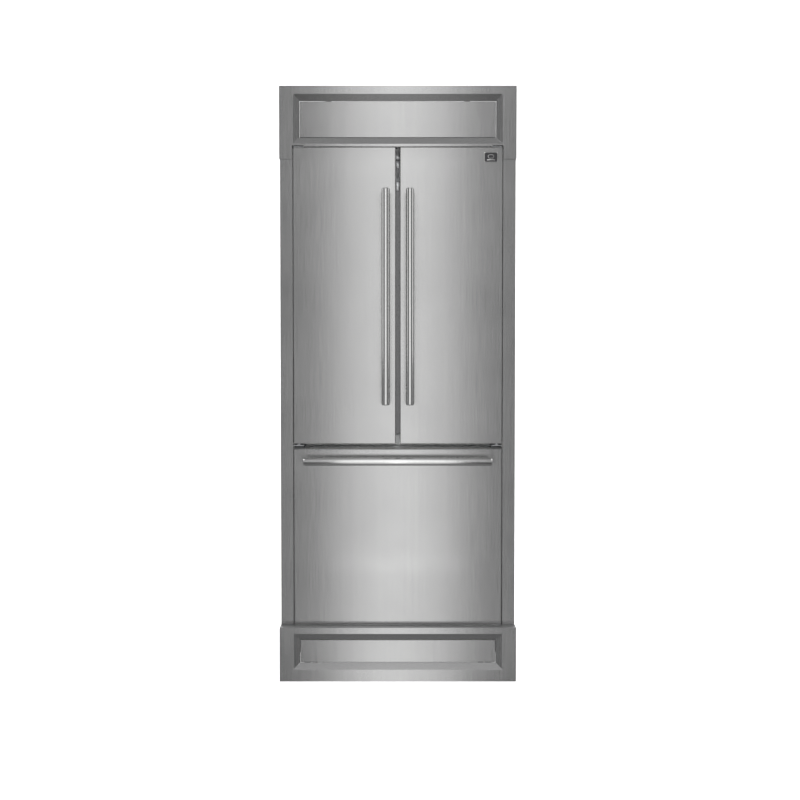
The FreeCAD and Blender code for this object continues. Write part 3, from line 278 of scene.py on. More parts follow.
def lit_lens(name, color, glow):
    """A frosted lens with a lamp behind it."""
    material, tree, shader = new_material(name)
    frost = noise(tree, 300, 2.0, 0.5)
    tint(tree, shader, frost, scaled(color, 0.96), color)
    roughen(tree, shader, frost, 0.3, 0.45)
    shader.inputs["Emission Color"].default_value = (*color, 1)
    shader.inputs["Emission Strength"].default_value = glow
    bump(tree, shader, frost, 0.1, 0.0001)
    return material


STEEL = (0.60, 0.60, 0.595)

# one material for each slot of the record: colour, roughness and what its builder adds
MATERIALS = {
    "brushed_stainless": brushed_metal("brushed_stainless", STEEL, 0.22, 0.75, "z"),
    "trim_stainless": brushed_metal("trim_stainless", STEEL, 0.22, 0.75, "z"),
    "handle_stainless": brushed_metal("handle_stainless", (0.80, 0.80, 0.79), 0.14, 0.2, "z", 0.02),
    "cabinet_paint": painted_steel("cabinet_paint", (0.20, 0.205, 0.21), 0.42),
    "zinc_steel": galvanised("zinc_steel", (0.56, 0.57, 0.58), 0.42),
    "white_liner": moulded_plastic("white_liner", (0.80, 0.81, 0.81), 0.32, 700, 0.00004, 0.02),
    "light_grey_plastic": moulded_plastic("light_grey_plastic", (0.52, 0.53, 0.54), 0.4),
    "clear_plastic": clear_plastic("clear_plastic", (0.93, 0.96, 0.97), 0.08, 0.70),
    "shelf_glass": clear_plastic("shelf_glass", (0.88, 0.96, 0.94), 0.02, 0.86),
    "gasket_rubber": rubber("gasket_rubber", (0.115, 0.115, 0.12), 0.62),
    "mullion_grey": painted_steel("mullion_grey", (0.24, 0.24, 0.243), 0.3, 0.6),
    "foam": foamed("foam", (0.80, 0.70, 0.42)),
    "black_plastic": moulded_plastic("black_plastic", (0.018, 0.018, 0.02), 0.42, 1200),
    "badge_metal": brushed_metal("badge_metal", (0.72, 0.72, 0.71), 0.2, 0.3, "x", 0.03),
    "compressor_black": painted_steel("compressor_black", (0.012, 0.012, 0.013), 0.3),
    "black_wire": painted_steel("black_wire", (0.02, 0.02, 0.022), 0.4),
    "bright_aluminium": brushed_metal("bright_aluminium", (0.80, 0.81, 0.82), 0.3, 0.5, "z", 0.04),
    "light_lens": lit_lens("light_lens", (0.95, 0.97, 1.0), 5.0),
    "white_plastic": moulded_plastic("white_plastic", (0.74, 0.75, 0.75), 0.36, 1400),
    "foot_black": rubber("foot_black", (0.02, 0.02, 0.021), 0.7),
}


def dress(piece, slot):
    """Gives a piece its record slot and its one material."""
    piece.data.materials.clear()
    piece.data.materials.append(MATERIALS[slot])


# ---------------------------------------------------------------- CAD nodes that stay


EDGE_SEGMENTS = 2
EDGE_ANGLE = math.radians(22)


def soften(node, width):
    """Rounds a CAD node's sharp edges with modifiers and smooths its curved faces."""
    piece = NODES[node]
    mesh = piece.data
    for attribute in ("custom_normal", "sharp_edge", "sharp_face"):
        if attribute in mesh.attributes:
            mesh.attributes.remove(mesh.attributes[attribute])
    mesh.polygons.foreach_set("use_smooth", [True] * len(mesh.polygons))
    weld = piece.modifiers.new("weld", "WELD")
    weld.merge_threshold = 0.00001
    bevel = piece.modifiers.new("soft_edges", "BEVEL")
    bevel.width = width
    bevel.segments = EDGE_SEGMENTS
    bevel.limit_method = "ANGLE"
    bevel.angle_limit = EDGE_ANGLE
    bevel.miter_outer = "MITER_ARC"
    piece.modifiers.new("flat_shading", "WEIGHTED_NORMAL").weight = 100


for part in frame["record"]["subparts"]:
    dress(NODES[part["node"]], part["material_slot"])

# how wide the rounding on each node's edges is, in millimetres
EDGE_WIDTHS = {
    "cabinet_wrapper": 0.3, "top_grille_frame": 0.4, "base_grille_frame": 0.4,
    "top_grille_panel": 0.8, "base_grille_panel": 0.8, "left_side_trim": 0.5, "right_side_trim": 0.5,
    "left_door_skin": 0.25, "right_door_skin": 0.25, "drawer_skin": 0.25,
    "left_door_handle": 0.5, "right_door_handle": 0.5, "drawer_handle": 0.5,
    "centre_mullion": 0.6, "badge": 0.3, "upper_hinges": 0.5, "lower_hinges": 0.5, "hinge_screws": 0.3,
    "compressor": 1.0, "levelling_feet": 1.0, "power_inlet": 0.6, "machine_cover": 0.3, "back_panel": 0.3,
    "base_plate": 0.5, "top_rail": 0.8, "middle_rail": 0.8, "air_duct": 1.5, "control_panel": 2.0,
    "light_lens": 2.0, "shelf_frames": 1.2, "shelf_glass": 0.6, "crisper_cover": 1.2,
    "evaporator_cover": 0.8, "drain_pan": 0.8, "condenser_fan_mount": 0.8,
    "condenser_fan": 0.4, "evaporator_fan": 0.4, "drawer_inner_rails": 0.4,
    "drawer_outer_rails": 0.3, "drawer_middle_rails": 0.3, "freezer_liner": 1.2,
}
for node, width in EDGE_WIDTHS.items():
    soften(node, width * MM)


# ---------------------------------------------------------------- mesh builders


SHARP_ANGLE = math.radians(38)


def link_piece(name, data, body, slot, replaces=()):
    """Links a mesh or curve as a piece with its slot, its body and the nodes it stands for."""
    piece = bpy.data.objects.new(name, data)
    scene.collection.objects.link(piece)
    dress(piece, slot)
    if replaces:
        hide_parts(*replaces)
    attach(piece, body)


def finish_piece(name, mesh, body, slot, replaces=()):
    """Smooths a mesh's faces, keeps its real edges sharp and links it as a piece."""
    shape = bmesh.new()
    shape.from_mesh(mesh)
    bmesh.ops.remove_doubles(shape, verts=shape.verts, dist=0.000005)
    bmesh.ops.recalc_face_normals(shape, faces=shape.faces)
    for face in shape.faces:
        face.smooth = True
    for edge in shape.edges:
        if len(edge.link_faces) == 2:
            edge.smooth = edge.calc_face_angle() < SHARP_ANGLE
    shape.to_mesh(mesh)
    shape.free()
    link_piece(name, mesh, body, slot, replaces)


SMALLEST_CORNER = 0.0004


def corner_loop(rect, inset, radius, segments):
    """The points of a rectangle with round corners, (a0, a1, b0, b1) shrunk by inset."""
    a0, a1, b0, b1 = rect[0] + inset, rect[1] - inset, rect[2] + inset, rect[3] - inset
    radius = max(SMALLEST_CORNER, min(radius, (a1 - a0) / 2.02, (b1 - b0) / 2.02))
    centres = (
        (a1 - radius, b1 - radius, 0), (a0 + radius, b1 - radius, 90),
        (a0 + radius, b0 + radius, 180), (a1 - radius, b0 + radius, 270),
    )
    points = []
    for a, b, start in centres:
        for i in range(segments + 1):
            turn = math.radians(start + 90 * i / segments)
            points.append((a + radius * math.cos(turn), b + radius * math.sin(turn)))
    return points


# where a point of a flat outline goes, for each plane it can be drawn in
PLANES = {
    "xz": lambda a, b, depth: (a, depth, b),
    "xy": lambda a, b, depth: (a, b, depth),
    "yz": lambda a, b, depth: (depth, a, b),
}


def skin(shape, loops, ring=False):
    """Joins a row of closed loops with faces; the ends close, or join each other in a ring."""
    pairs = list(zip(loops, loops[1:]))
    if ring:
        pairs.append((loops[-1], loops[0]))
    for first, second in pairs:
        count = len(first)
        for i in range(count):
            j = (i + 1) % count
            shape.faces.new((first[i], first[j], second[j], second[i]))
    if not ring:
        shape.faces.new(loops[0])
        shape.faces.new(loops[-1])


def loft_into(shape, plane, steps, segments, ring):
    """Skins a row of rounded rectangles, each (rect, inset, depth, corner radius)."""
    place = PLANES[plane]
    loops = []
    for rect, inset, depth, radius in steps:
        points = corner_loop(rect, inset, radius, segments)
        loops.append([shape.verts.new(place(a, b, depth)) for a, b in points])
    skin(shape, loops, ring)


def shape_piece(name, shape, body, slot, replaces=()):
    """Turns a built shape into a finished piece."""
    mesh = bpy.data.meshes.new(name)
    shape.to_mesh(mesh)
    shape.free()
    finish_piece(name, mesh, body, slot, replaces)


def lofts(name, forms, body, slot, replaces=(), segments=5):
    """One piece made of several lofts, each (plane, steps, ring)."""
    shape = bmesh.new()
    for plane, steps, ring in forms:
        loft_into(shape, plane, steps, segments, ring)
    shape_piece(name, shape, body, slot, replaces)


def loft(name, plane, steps, body, slot, replaces=(), segments=5, ring=False):
    """One piece made of one loft."""
    lofts(name, [(plane, steps, ring)], body, slot, replaces, segments)


def bent(points, bend, steps=4):
    """Rounds the inner corners of a path of (rect, inset, depth, radius) points on one rectangle."""
    rounded = [points[0]]
    for before, here, after in zip(points, points[1:], points[2:]):
        if not (before[0] is here[0] is after[0]):
            rounded.append(here)
            continue
        ends = []
        for other in (before, after):
            length = math.dist(other[1:3], here[1:3])
            share = min(bend, length * 0.48) / length
            ends.append([h + (o - h) * share for h, o in zip(here[1:], other[1:])])
        for i in range(steps + 1):
            t = i / steps
            mixed = [
                (1 - t) ** 2 * a + 2 * t * (1 - t) * h + t ** 2 * b
                for a, h, b in zip(ends[0], here[1:], ends[1])
            ]
            rounded.append((here[0], *mixed))
    rounded.append(points[-1])
    return rounded


def soft_block(plane, rect, near, far, radius, edge):
    """A block with rounded corners and softened edges, as one loft."""
    sign = 1 if far > near else -1
    steps = [(rect, edge, near, radius - edge), (rect, edge * 0.3, near + sign * edge * 0.3, radius)]
    steps += [(rect, 0, near + sign * edge, radius), (rect, 0, far - sign * edge, radius)]
    steps += [(rect, edge * 0.3, far - sign * edge * 0.3, radius), (rect, edge, far, radius - edge)]
    return plane, steps, False


SCREW_SIDES = 20


def screws(name, places, profile, body, slot):
    """Screw heads that face along Y, turned from a profile of (radius, along)."""
    shape = bmesh.new()
    for centre in places:
        rows = []
        for radius, along in profile:
            row = []
            for i in range(SCREW_SIDES):
                turn = 2 * math.pi * i / SCREW_SIDES
                offset = (radius * math.cos(turn), along, radius * math.sin(turn))
                row.append(shape.verts.new(Vector(centre) + Vector(offset)))
            rows.append(row)
        skin(shape, rows)
    shape_piece(name, shape, body, slot)


def wires(name, routes, radius, body, slot, replaces=(), closed=False):
    """Bent wires as one curve; each route is a list of points."""
    curve = bpy.data.curves.new(name, "CURVE")
    curve.dimensions = "3D"
    curve.bevel_depth = radius
    curve.bevel_resolution = 2
    curve.use_fill_caps = True
    for route in routes:
        spline = curve.splines.new("POLY")
        spline.points.add(len(route) - 1)
        for point, place in zip(spline.points, route):
            point.co = (*place, 1)
        spline.use_cyclic_u = closed
        spline.use_smooth = True
    link_piece(name, curve, body, slot, replaces)


WIRE_BEND_STEPS = 5


def round_corners(route, radius):
    """Rounds a wire's corners."""
    rounded = [Vector(route[0])]
    for before, here, after in zip(route, route[1:], route[2:]):
        here = Vector(here)
        start = here + (Vector(before) - here).normalized() * radius
        end = here + (Vector(after) - here).normalized() * radius
        for i in range(WIRE_BEND_STEPS + 1):
            t = i / WIRE_BEND_STEPS
            rounded.append((1 - t) ** 2 * start + 2 * t * (1 - t) * here + t ** 2 * end)
    rounded.append(Vector(route[-1]))
    return rounded


# ---------------------------------------------------------------- door seals and inner panels

DOOR_REAR = -0.220
SMALL_EDGE = 0.0006

# the gasket's outline in millimetres: how far in from its outside, and how far behind the door
GASKET_SECTION = (
    (0.5, 0.0), (0.5, 2.3), (3.2, 3.1), (2.2, 5.0), (3.6, 7.0), (1.0, 8.3), (0.5, 9.4), (0.5, 12.4),
    (1.5, 13.4), (12.5, 13.4), (13.5, 12.4), (13.5, 9.4), (13.0, 8.3), (10.4, 7.0), (11.8, 5.0),
    (10.8, 3.1), (13.5, 2.3), (13.5, 0.0),
)


def front_rect(node):
    """A node's outline from the front: left, right, low and high."""
    low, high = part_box(node)
    return low[0], high[0], low[2], high[2]


def floor_rect(node):
    """A node's outline from above: left, right, front and rear."""
    low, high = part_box(node)
    return low[0], high[0], low[1], high[1]


def seal(node, body):
    """A bellows gasket with a magnet strip along its face."""
    rect = front_rect(node)
    steps = [(rect, inset * MM, DOOR_REAR + depth * MM, 0.002) for inset, depth in GASKET_SECTION]
    loft(node + "_bellows", "xz", steps, body, "gasket_rubber", (node,), segments=2, ring=True)


seal("left_door_gasket", "left_door")
seal("right_door_gasket", "right_door")
seal("drawer_gasket", "freezer_drawer")

RIDGE_LOW, RIDGE_HIGH = 0.885, 1.856
RIDGE_INNER, RIDGE_OUTER = 0.040, 0.318
DRAWER_RIDGE = (-0.316, 0.316, 0.250, 0.777)
RIDGE_WIDE = 0.022
DOOR_RIDGE_REAR, DRAWER_RIDGE_REAR = -0.165, -0.195
SHEET = 0.002
SHEET_CORNER = 0.004


def inner_panel(node, body, ridge, ridge_rear):
    """A vacuum-formed panel with a tapered, rounded ridge and a shallow pan inside it."""
    sheet = front_rect(node)
    face, pan = DOOR_REAR, DOOR_REAR + 0.0005
    hill = bent([
        (ridge, -0.010, face, 0.022), (ridge, 0.001, face, 0.016), (ridge, 0.003, ridge_rear, 0.014),
        (ridge, RIDGE_WIDE - 0.003, ridge_rear, 0.012), (ridge, RIDGE_WIDE + 0.001, pan, 0.010),
        (ridge, RIDGE_WIDE + 0.030, pan, 0.010),
    ], 0.006)
    rim = [
        (sheet, 0, face - SHEET, SHEET_CORNER), (sheet, 0, face - SMALL_EDGE, SHEET_CORNER),
        (sheet, SMALL_EDGE, face, SHEET_CORNER),
    ]
    loft(node + "_formed", "xz", rim + hill, body, "white_liner", (node,), segments=8)


LEFT_RIDGE = (-RIDGE_OUTER, -RIDGE_INNER, RIDGE_LOW, RIDGE_HIGH)
RIGHT_RIDGE = (RIDGE_INNER, RIDGE_OUTER, RIDGE_LOW, RIDGE_HIGH)
inner_panel("left_door_liner", "left_door", LEFT_RIDGE, DOOR_RIDGE_REAR)
inner_panel("right_door_liner", "right_door", RIGHT_RIDGE, DOOR_RIDGE_REAR)
inner_panel("drawer_liner", "freezer_drawer", DRAWER_RIDGE, DRAWER_RIDGE_REAR)

FLIPPER_PIN = (-0.028, -0.198)
EYE_HEIGHTS = (0.930, 1.372, 1.812)
EYE_HALF_TALL = 0.014
EYE_RADIUS = 0.0045
EYE_WALL = 0.00194


def flipper_eyes():
    """The lugs on the left inner panel whose eyes carry the flipper's pins."""
    across, back = FLIPPER_PIN
    arm = (across - 0.012, across - 0.0035, DOOR_REAR - 0.0005, back + 0.004)
    eye = (across - EYE_RADIUS, across + EYE_RADIUS, back - EYE_RADIUS, back + EYE_RADIUS)
    bore, soft = EYE_RADIUS - EYE_WALL, EYE_RADIUS - SMALL_EDGE
    forms = []
    for z in EYE_HEIGHTS:
        low, high = z - EYE_HALF_TALL, z + EYE_HALF_TALL
        forms.append(soft_block("xy", arm, low, high, 0.0015, 0.0008))
        turn = [
            (eye, 0, low + SMALL_EDGE, EYE_RADIUS), (eye, 0, high - SMALL_EDGE, EYE_RADIUS),
            (eye, SMALL_EDGE, high, soft), (eye, EYE_WALL, high, bore), (eye, EYE_WALL, low, bore),
            (eye, SMALL_EDGE, low, soft),
        ]
        forms.append(("xy", turn, True))
    lofts("flipper_eyes", forms, "left_door", "white_liner", segments=6)


flipper_eyes()


# ---------------------------------------------------------------- tubs, bins and baskets


def tub_steps(rect, low, high, wall, corner, draft, rim, rim_tall):
    """An open-topped tub: outside bottom, outside wall, rim, inside wall, inside floor."""
    return [
        *bent([
            (rect, draft + corner * 0.9, low, corner * 0.4), (rect, draft, low, corner),
            (rect, rim, high - rim_tall, corner),
        ], 0.006),
        (rect, 0, high - rim_tall, corner), (rect, 0, high - SMALL_EDGE, corner),
        (rect, SMALL_EDGE, high, corner), (rect, rim + wall - SMALL_EDGE, high, corner),
        *bent([
            (rect, rim + wall, high - 0.0008, corner - wall / 2),
            (rect, draft + wall, low + wall, corner - wall / 2),
            (rect, draft + corner, low + wall, corner * 0.4),
        ], 0.006),
    ]


BIN_HEIGHTS = (1.090, 1.370, 1.640)
BIN_TALL = 0.096


def door_bins(side):
    """Three clear bins on a door, each with a grey band in front and a hook at each end."""
    name = f"{side}_door"
    low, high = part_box(f"{name}_bins")
    rect = floor_rect(f"{name}_bins")
    tubs, bands, hooks = [], [], []
    for z in BIN_HEIGHTS:
        top = z + BIN_TALL
        tubs.append(("xy", tub_steps(rect, z, top, 0.0024, 0.012, 0.005, 0.0012, 0.008), False))
        band = (low[0] + 0.010, high[0] - 0.010, top - 0.030, top - 0.010)
        bands.append(soft_block("xz", band, high[1] - 0.0030, high[1] - 0.0002, 0.006, 0.0008))
        for x0, x1 in ((low[0] - 0.0005, low[0] + 0.0035), (high[0] - 0.0035, high[0] + 0.0005)):
            lug = (x0, x1, low[1] + 0.012, low[1] + 0.034)
            hooks.append(soft_block("xy", lug, top - 0.046, top - 0.020, 0.0018, 0.0005))
    lofts(f"{name}_bin_tubs", tubs, name, "clear_plastic", (f"{name}_bins",), 6)
    lofts(f"{name}_bin_bands", bands, name, "light_grey_plastic")
    lofts(f"{name}_bin_hooks", hooks, name, "white_liner")


door_bins("left")
door_bins("right")

CRISPER_HIGH = 1.058
CRISPER_FRONT = -0.035
GRIP_INNER, GRIP_OUTER = 0.090, 0.226
GRIP_FRONT, HOOK_REAR = -0.0470, -0.0440


def crisper(name, grip_left, grip_right):
    """A clear drawer with a grey grip that hooks downwards and a grey front band."""
    low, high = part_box(f"{name}_crisper")
    front = CRISPER_FRONT
    rect = (low[0], high[0], front, high[1])
    tub = tub_steps(rect, low[2], CRISPER_HIGH, 0.0025, 0.016, 0.006, 0.0015, 0.006)
    body = f"crisper_{name}"
    loft(f"{name}_crisper_tub", "xy", tub, body, "clear_plastic", (f"{name}_crisper",), 7)
    grip = (grip_left, grip_right, GRIP_FRONT, front + 0.004)
    hook = (grip_left, grip_right, GRIP_FRONT, HOOK_REAR)
    band = (low[0] + 0.012, high[0] - 0.012, 1.041, 1.0565)
    forms = [
        soft_block("xy", grip, 1.0360, 1.0402, 0.0035, 0.0008),
        soft_block("xy", hook, 1.0185, 1.0392, 0.0014, 0.0005),
        soft_block("xz", band, front - 0.0016, front + 0.003, 0.004, 0.0006),
    ]
    lofts(f"{name}_crisper_grip", forms, body, "light_grey_plastic")


crisper("left", -GRIP_OUTER, -GRIP_INNER)
crisper("right", GRIP_INNER, GRIP_OUTER)


def upper_tray():
    """The freezer's clear tray, with a broad rim that slides on the basket."""
    low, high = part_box("upper_tray")
    tub = tub_steps(floor_rect("upper_tray"), low[2], high[2], 0.003, 0.018, 0.008, 0.003, 0.007)
    loft("upper_tray_tub", "xy", tub, "freezer_tray", "clear_plastic", ("upper_tray",), 7)


upper_tray()

RIM_WIRE, HOOP_WIRE, THIN_WIRE = 0.0035, 0.0026, 0.0018
BASKET_SLOPE = 0.006
WIRE_COLUMNS, WIRE_ROWS = 25, 11
FIRST_WIRE = 0.024
WIRE_BEND = 0.016


def evenly(low, high, count):
    """Places for wires, spread evenly and clear of the basket's corners."""
    free = high - low - 2 * FIRST_WIRE
    return [low + FIRST_WIRE + free * i / (count - 1) for i in range(count)]


def freezer_basket():
    """A basket of coated wire: a rim, two hoops and close rows of bent wires."""
    body, slot = "freezer_drawer", "white_plastic"
    low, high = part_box("lower_basket")
    x0, x1 = low[0] + RIM_WIRE, high[0] - RIM_WIRE
    y0, y1 = low[1] + RIM_WIRE, high[1] - RIM_WIRE
    z0, z1 = low[2] + THIN_WIRE, high[2] - RIM_WIRE
    slope = BASKET_SLOPE
    hoops = []
    for z, inset in ((z1, 0), (z0 + 0.150, slope * 0.38), (z0 + 0.075, slope * 0.7)):
        loop = corner_loop((x0, x1, y0, y1), inset, 0.022, 6)
        hoops.append([(a, b, z) for a, b in loop])
    wires("lower_basket_rim", hoops[:1], RIM_WIRE, body, slot, ("lower_basket",), closed=True)
    wires("lower_basket_hoops", hoops[1:], HOOP_WIRE, body, slot, closed=True)
    rows = []
    for x in evenly(x0, x1, WIRE_COLUMNS):
        route = [(x, y0, z1), (x, y0 + slope, z0), (x, y1 - slope, z0), (x, y1, z1)]
        rows.append(round_corners(route, WIRE_BEND))
    above = z0 + 2 * THIN_WIRE
    for y in evenly(y0, y1, WIRE_ROWS):
        route = [(x0, y, z1), (x0 + slope, y, above), (x1 - slope, y, above), (x1, y, z1)]
        rows.append(round_corners(route, WIRE_BEND))
    wires("lower_basket_wires", rows, THIN_WIRE, body, slot)


freezer_basket()


# ---------------------------------------------------------------- fresh food cavity

CAVITY_OPENING = (-0.324, 0.324, 0.868, 1.877)
CAVITY_REAR = 0.300
CAVITY_WALL = 0.0028
CAVITY_BEND = 0.016
SHELF_LEDGE_HEIGHTS = (1.290, 1.570, 1.070)
RIB_HEIGHTS = (1.180, 1.430, 1.700)
LEDGE_BACK = 0.3245


def cavity():
    """The vacuum-formed liner: soft front lip, round inner corners, and ledges for the shelves."""
    flange = front_rect("fresh_food_liner")
    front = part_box("fresh_food_liner")[0][1]
    opening, rear, wall = CAVITY_OPENING, CAVITY_REAR, CAVITY_WALL
    inner = bent([
        (opening, -0.0022, front, 0.012), (opening, 0, front + 0.0030, 0.012),
        (opening, 0, rear, 0.014), (opening, 0.040, rear, 0.014),
    ], CAVITY_BEND, 5)
    outer = bent([
        (opening, 0.040, rear + wall, 0.014), (opening, -wall, rear + wall, 0.016),
        (opening, -wall, front + wall, 0.012),
    ], CAVITY_BEND, 5)
    lip = [(flange, 0, front, 0.001), (flange, 0, front + wall, 0.001)]
    steps = inner[::-1] + lip + outer[::-1]
    node = "fresh_food_liner"
    loft(node + "_formed", "xz", steps, "cabinet", "white_liner", (node,), segments=6)
    ledges = []
    for side in (-1, 1):
        back = side * LEDGE_BACK
        for z in SHELF_LEDGE_HEIGHTS:
            span = (-0.074, 0.292, z - 0.0095, z - 0.0002)
            ledges.append(soft_block("yz", span, back, side * 0.3172, 0.004, 0.0012))
        for z in RIB_HEIGHTS:
            span = (-0.150, 0.292, z - 0.009, z + 0.009)
            ledges.append(soft_block("yz", span, back, side * 0.3205, 0.008, 0.0016))
    lofts("shelf_ledges", ledges, "cabinet", "white_liner")


cavity()

KEY_PLACES = (-0.054, -0.036, 0.036, 0.054)
KEY_RADIUS = 0.0028
LEVEL_MARKS, LEVEL_SPACING = 5, 0.006
HAIR = 0.0001


def block_round(x, z, half_wide, half_tall):
    """A rectangle round a middle point."""
    return x - half_wide, x + half_wide, z - half_tall, z + half_tall


def control_panel_face():
    """A dark glass strip in the panel's window, with plain round keys and level marks."""
    low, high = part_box("control_panel")
    middle = (low[2] + high[2]) / 2
    face = low[1] + 0.0016
    window = block_round(0, middle, 0.0695, 0.0045)
    strip = [soft_block("xz", window, face, low[1] + 0.0029, 0.002, 0.0003)]
    lofts("control_strip", strip, "cabinet", "black_plastic")
    marks = []
    for x in KEY_PLACES:
        key = block_round(x, middle, KEY_RADIUS, KEY_RADIUS)
        section = ((0, -HAIR), (0, HAIR), (0.0006, HAIR), (0.0006, -HAIR))
        marks.append(("xz", [(key, inset, face - depth, 0.0027) for inset, depth in section], True))
    for i in range(LEVEL_MARKS):
        x = LEVEL_SPACING * (i - (LEVEL_MARKS - 1) / 2)
        mark = block_round(x, middle, 0.0015, 0.0012)
        marks.append(soft_block("xz", mark, face - HAIR, face + HAIR, 0.0006, 0.00004))
    lofts("control_marks", marks, "cabinet", "light_grey_plastic")


control_panel_face()

PAN_HEAD = ((0.0002, 0.0016), (0.0026, 0.0014), (0.0038, 0.0006), (0.0040, -0.0004))


def cover_screws():
    """Pan-head screws round the machine cover."""
    low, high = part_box("machine_cover")
    spots = [
        (x, high[1], z)
        for z in (low[2] + 0.008, high[2] - 0.008)
        for x in (low[0] + 0.010, (low[0] + high[0]) / 2, high[0] - 0.010)
    ]
    screws("cover_screws", spots, PAN_HEAD, "cabinet", "zinc_steel")


cover_screws()


# ---------------------------------------------------------------- the gap between the doors

FLIPPER_FACE = -0.2055
FLIPPER_SINK = 0.001
FLAT_HEAD = ((0.0002, -0.0022), (0.0028, -0.0020), (0.0036, -0.0010), (0.0036, 0.0012))
FLIPPER_SCREW_HEIGHTS = (1.7875, 1.8215)
SPRING_LOW, SPRING_TALL = 1.7955, 0.0175
SPRING_TURNS, SPRING_POINTS = 6, 12


def gap_details():
    """The guide above the flipper and the small covers, screws and spring on its upper end."""
    body, face, back = "flipper_mullion", FLIPPER_FACE, FLIPPER_FACE + FLIPPER_SINK
    guide = (-0.0078, 0.0078, 1.8606, 1.8915)
    forms = [soft_block("xz", guide, -0.2135, -0.2010, 0.0012, SMALL_EDGE)]
    lofts("flipper_guide", forms, "cabinet", "bright_aluminium")
    upper, lower = (-0.0062, 0.0062, 1.8310, 1.8560), (-0.0062, 0.0062, 1.7500, 1.7800)
    covers = [
        soft_block("xz", upper, face - 0.0030, back, 0.0015, SMALL_EDGE),
        soft_block("xz", lower, face - 0.0026, back, 0.0015, SMALL_EDGE),
    ]
    lofts("flipper_covers", covers, body, "bright_aluminium")
    seat = (-0.0066, 0.0066, 1.7805, 1.8300)
    forms = [soft_block("xz", seat, face - 0.0012, back, 0.0010, 0.0003)]
    lofts("flipper_spring_seat", forms, body, "light_grey_plastic")
    spots = [(0, face - 0.0008, z) for z in FLIPPER_SCREW_HEIGHTS]
    screws("flipper_screws", spots, FLAT_HEAD, body, "zinc_steel")
    count = SPRING_TURNS * SPRING_POINTS
    coil = []
    for i in range(count + 1):
        turn = 2 * math.pi * i / SPRING_POINTS
        deep = face - 0.0026 + 0.0012 * math.sin(turn)
        coil.append((0.0026 * math.cos(turn), deep, SPRING_LOW + SPRING_TALL * i / count))
    wires("flipper_spring", [coil], 0.0005, body, "zinc_steel")


gap_details()


def leg_caps():
    """Folded ends that close the hollow legs of the top frame from below."""
    low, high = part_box("top_grille_frame")
    near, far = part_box("right_side_trim")[0][0] + 0.0011, high[0] - 0.0012
    forms = []
    for x in (near, -far):
        cap = (x, x + far - near, low[1] + 0.0012, -0.2065)
        forms.append(soft_block("xy", cap, 1.8494, 1.8504, 0.0006, 0.0002))
    lofts("leg_caps", forms, "cabinet", "trim_stainless")


leg_caps()

SIDE_STRIP = (-0.2710, -0.2620, 0.1935, 1.8960)
SIDE_STRIP_WIDE = 0.0020
TOP_STRIP = (-0.3330, 0.3330, 1.8924, 1.8978)
LOW_STRIP = (-0.3700, 0.3700, 0.1915, 0.1931)
# the base's ledge, covered by a darker grey sheet that paints shade on its upward face
SHADED_LEDGE = (-0.4186, 0.4186, -0.3334, -0.2904)


def seam_strips():
    """Narrow steel strips set back in the seams round the doors and the drawer, and a thin darker grey
    sheet on the base's ledge whose darker tone is painted shade on the ledge's upward face.
    """
    radius, edge = 0.0006, 0.0002
    forms = [
        soft_block("yz", SIDE_STRIP, x, x + SIDE_STRIP_WIDE, radius, edge)
        for x in (0.3709, -0.3709 - SIDE_STRIP_WIDE)
    ]
    forms.append(soft_block("xz", TOP_STRIP, -0.2936, -0.2894, radius, edge))
    forms.append(soft_block("xz", LOW_STRIP, -0.2896, -0.2850, radius, edge))
    lofts("seam_strips", forms, "cabinet", "trim_stainless")
    # painted shade: a thin darker grey sheet laid on the base's ledge
    shaded_ledge = [soft_block("xy", SHADED_LEDGE, 0.1917, 0.1925, 0.0008, 0.0003)]
    lofts("base_ledge_shade", shaded_ledge, "cabinet", "mullion_grey")


seam_strips()


def name_plate():
    """A small dark plate with a bright rim and a plain ornament; it carries no name."""
    low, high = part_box("badge")
    rect = front_rect("badge")
    back, front = high[1], low[1]
    rim = [
        (rect, 0, back, 0.0025), (rect, 0, front + 0.0003, 0.0025),
        (rect, 0.0003, front, 0.0025), (rect, 0.0024, front, 0.0015),
        (rect, 0.0027, front + 0.0004, 0.0015), (rect, 0.0027, back, 0.0015),
    ]
    loft("badge_rim", "xz", rim, "right_door", "badge_metal", ("badge",), ring=True)
    field = [
        (rect, 0.0026, back, 0.0015), (rect, 0.0026, front + 0.0005, 0.0015),
        (rect, 0.0029, front + 0.0004, 0.0012),
    ]
    loft("badge_field", "xz", field, "right_door", "black_plastic")
    x, z = (low[0] + high[0]) / 2, (low[2] + high[2]) / 2
    bar = (x - 0.014, x + 0.014, z - 0.0108, z - 0.0080)
    circle = (x - 0.011, x + 0.011, z - 0.0050, z + 0.0100)
    section = ((0, back), (0, front + 0.0002), (0.0026, front + 0.0001), (0.0030, back))
    forms = [
        soft_block("xz", bar, front + 0.0002, back, 0.0008, 0.0001),
        ("xz", [(circle, inset, depth, 0.0074) for inset, depth in section], True),
    ]
    lofts("badge_ornament", forms, "right_door", "badge_metal", segments=8)


name_plate()


# ---------------------------------------------------------------- camera, light and stage

EYE_HEIGHT = 1.2025
CAMERA_DISTANCE = 3.948
DOOR_FACE = -0.29


def place_camera():
    """A long view of the front from about the height of the drawer's handle."""
    data = bpy.data.cameras.new("camera")
    data.lens = 50
    data.sensor_width = 36
    data.shift_x = 0.0027
    data.shift_y = -0.0285
    camera = bpy.data.objects.new("camera", data)
    scene.collection.objects.link(camera)
    camera.location = (0, DOOR_FACE - CAMERA_DISTANCE, EYE_HEIGHT)
    camera.rotation_euler = (math.radians(88.2), 0, 0)
    scene.camera = camera
    scene.view_settings.view_transform = "Standard"


place_camera()

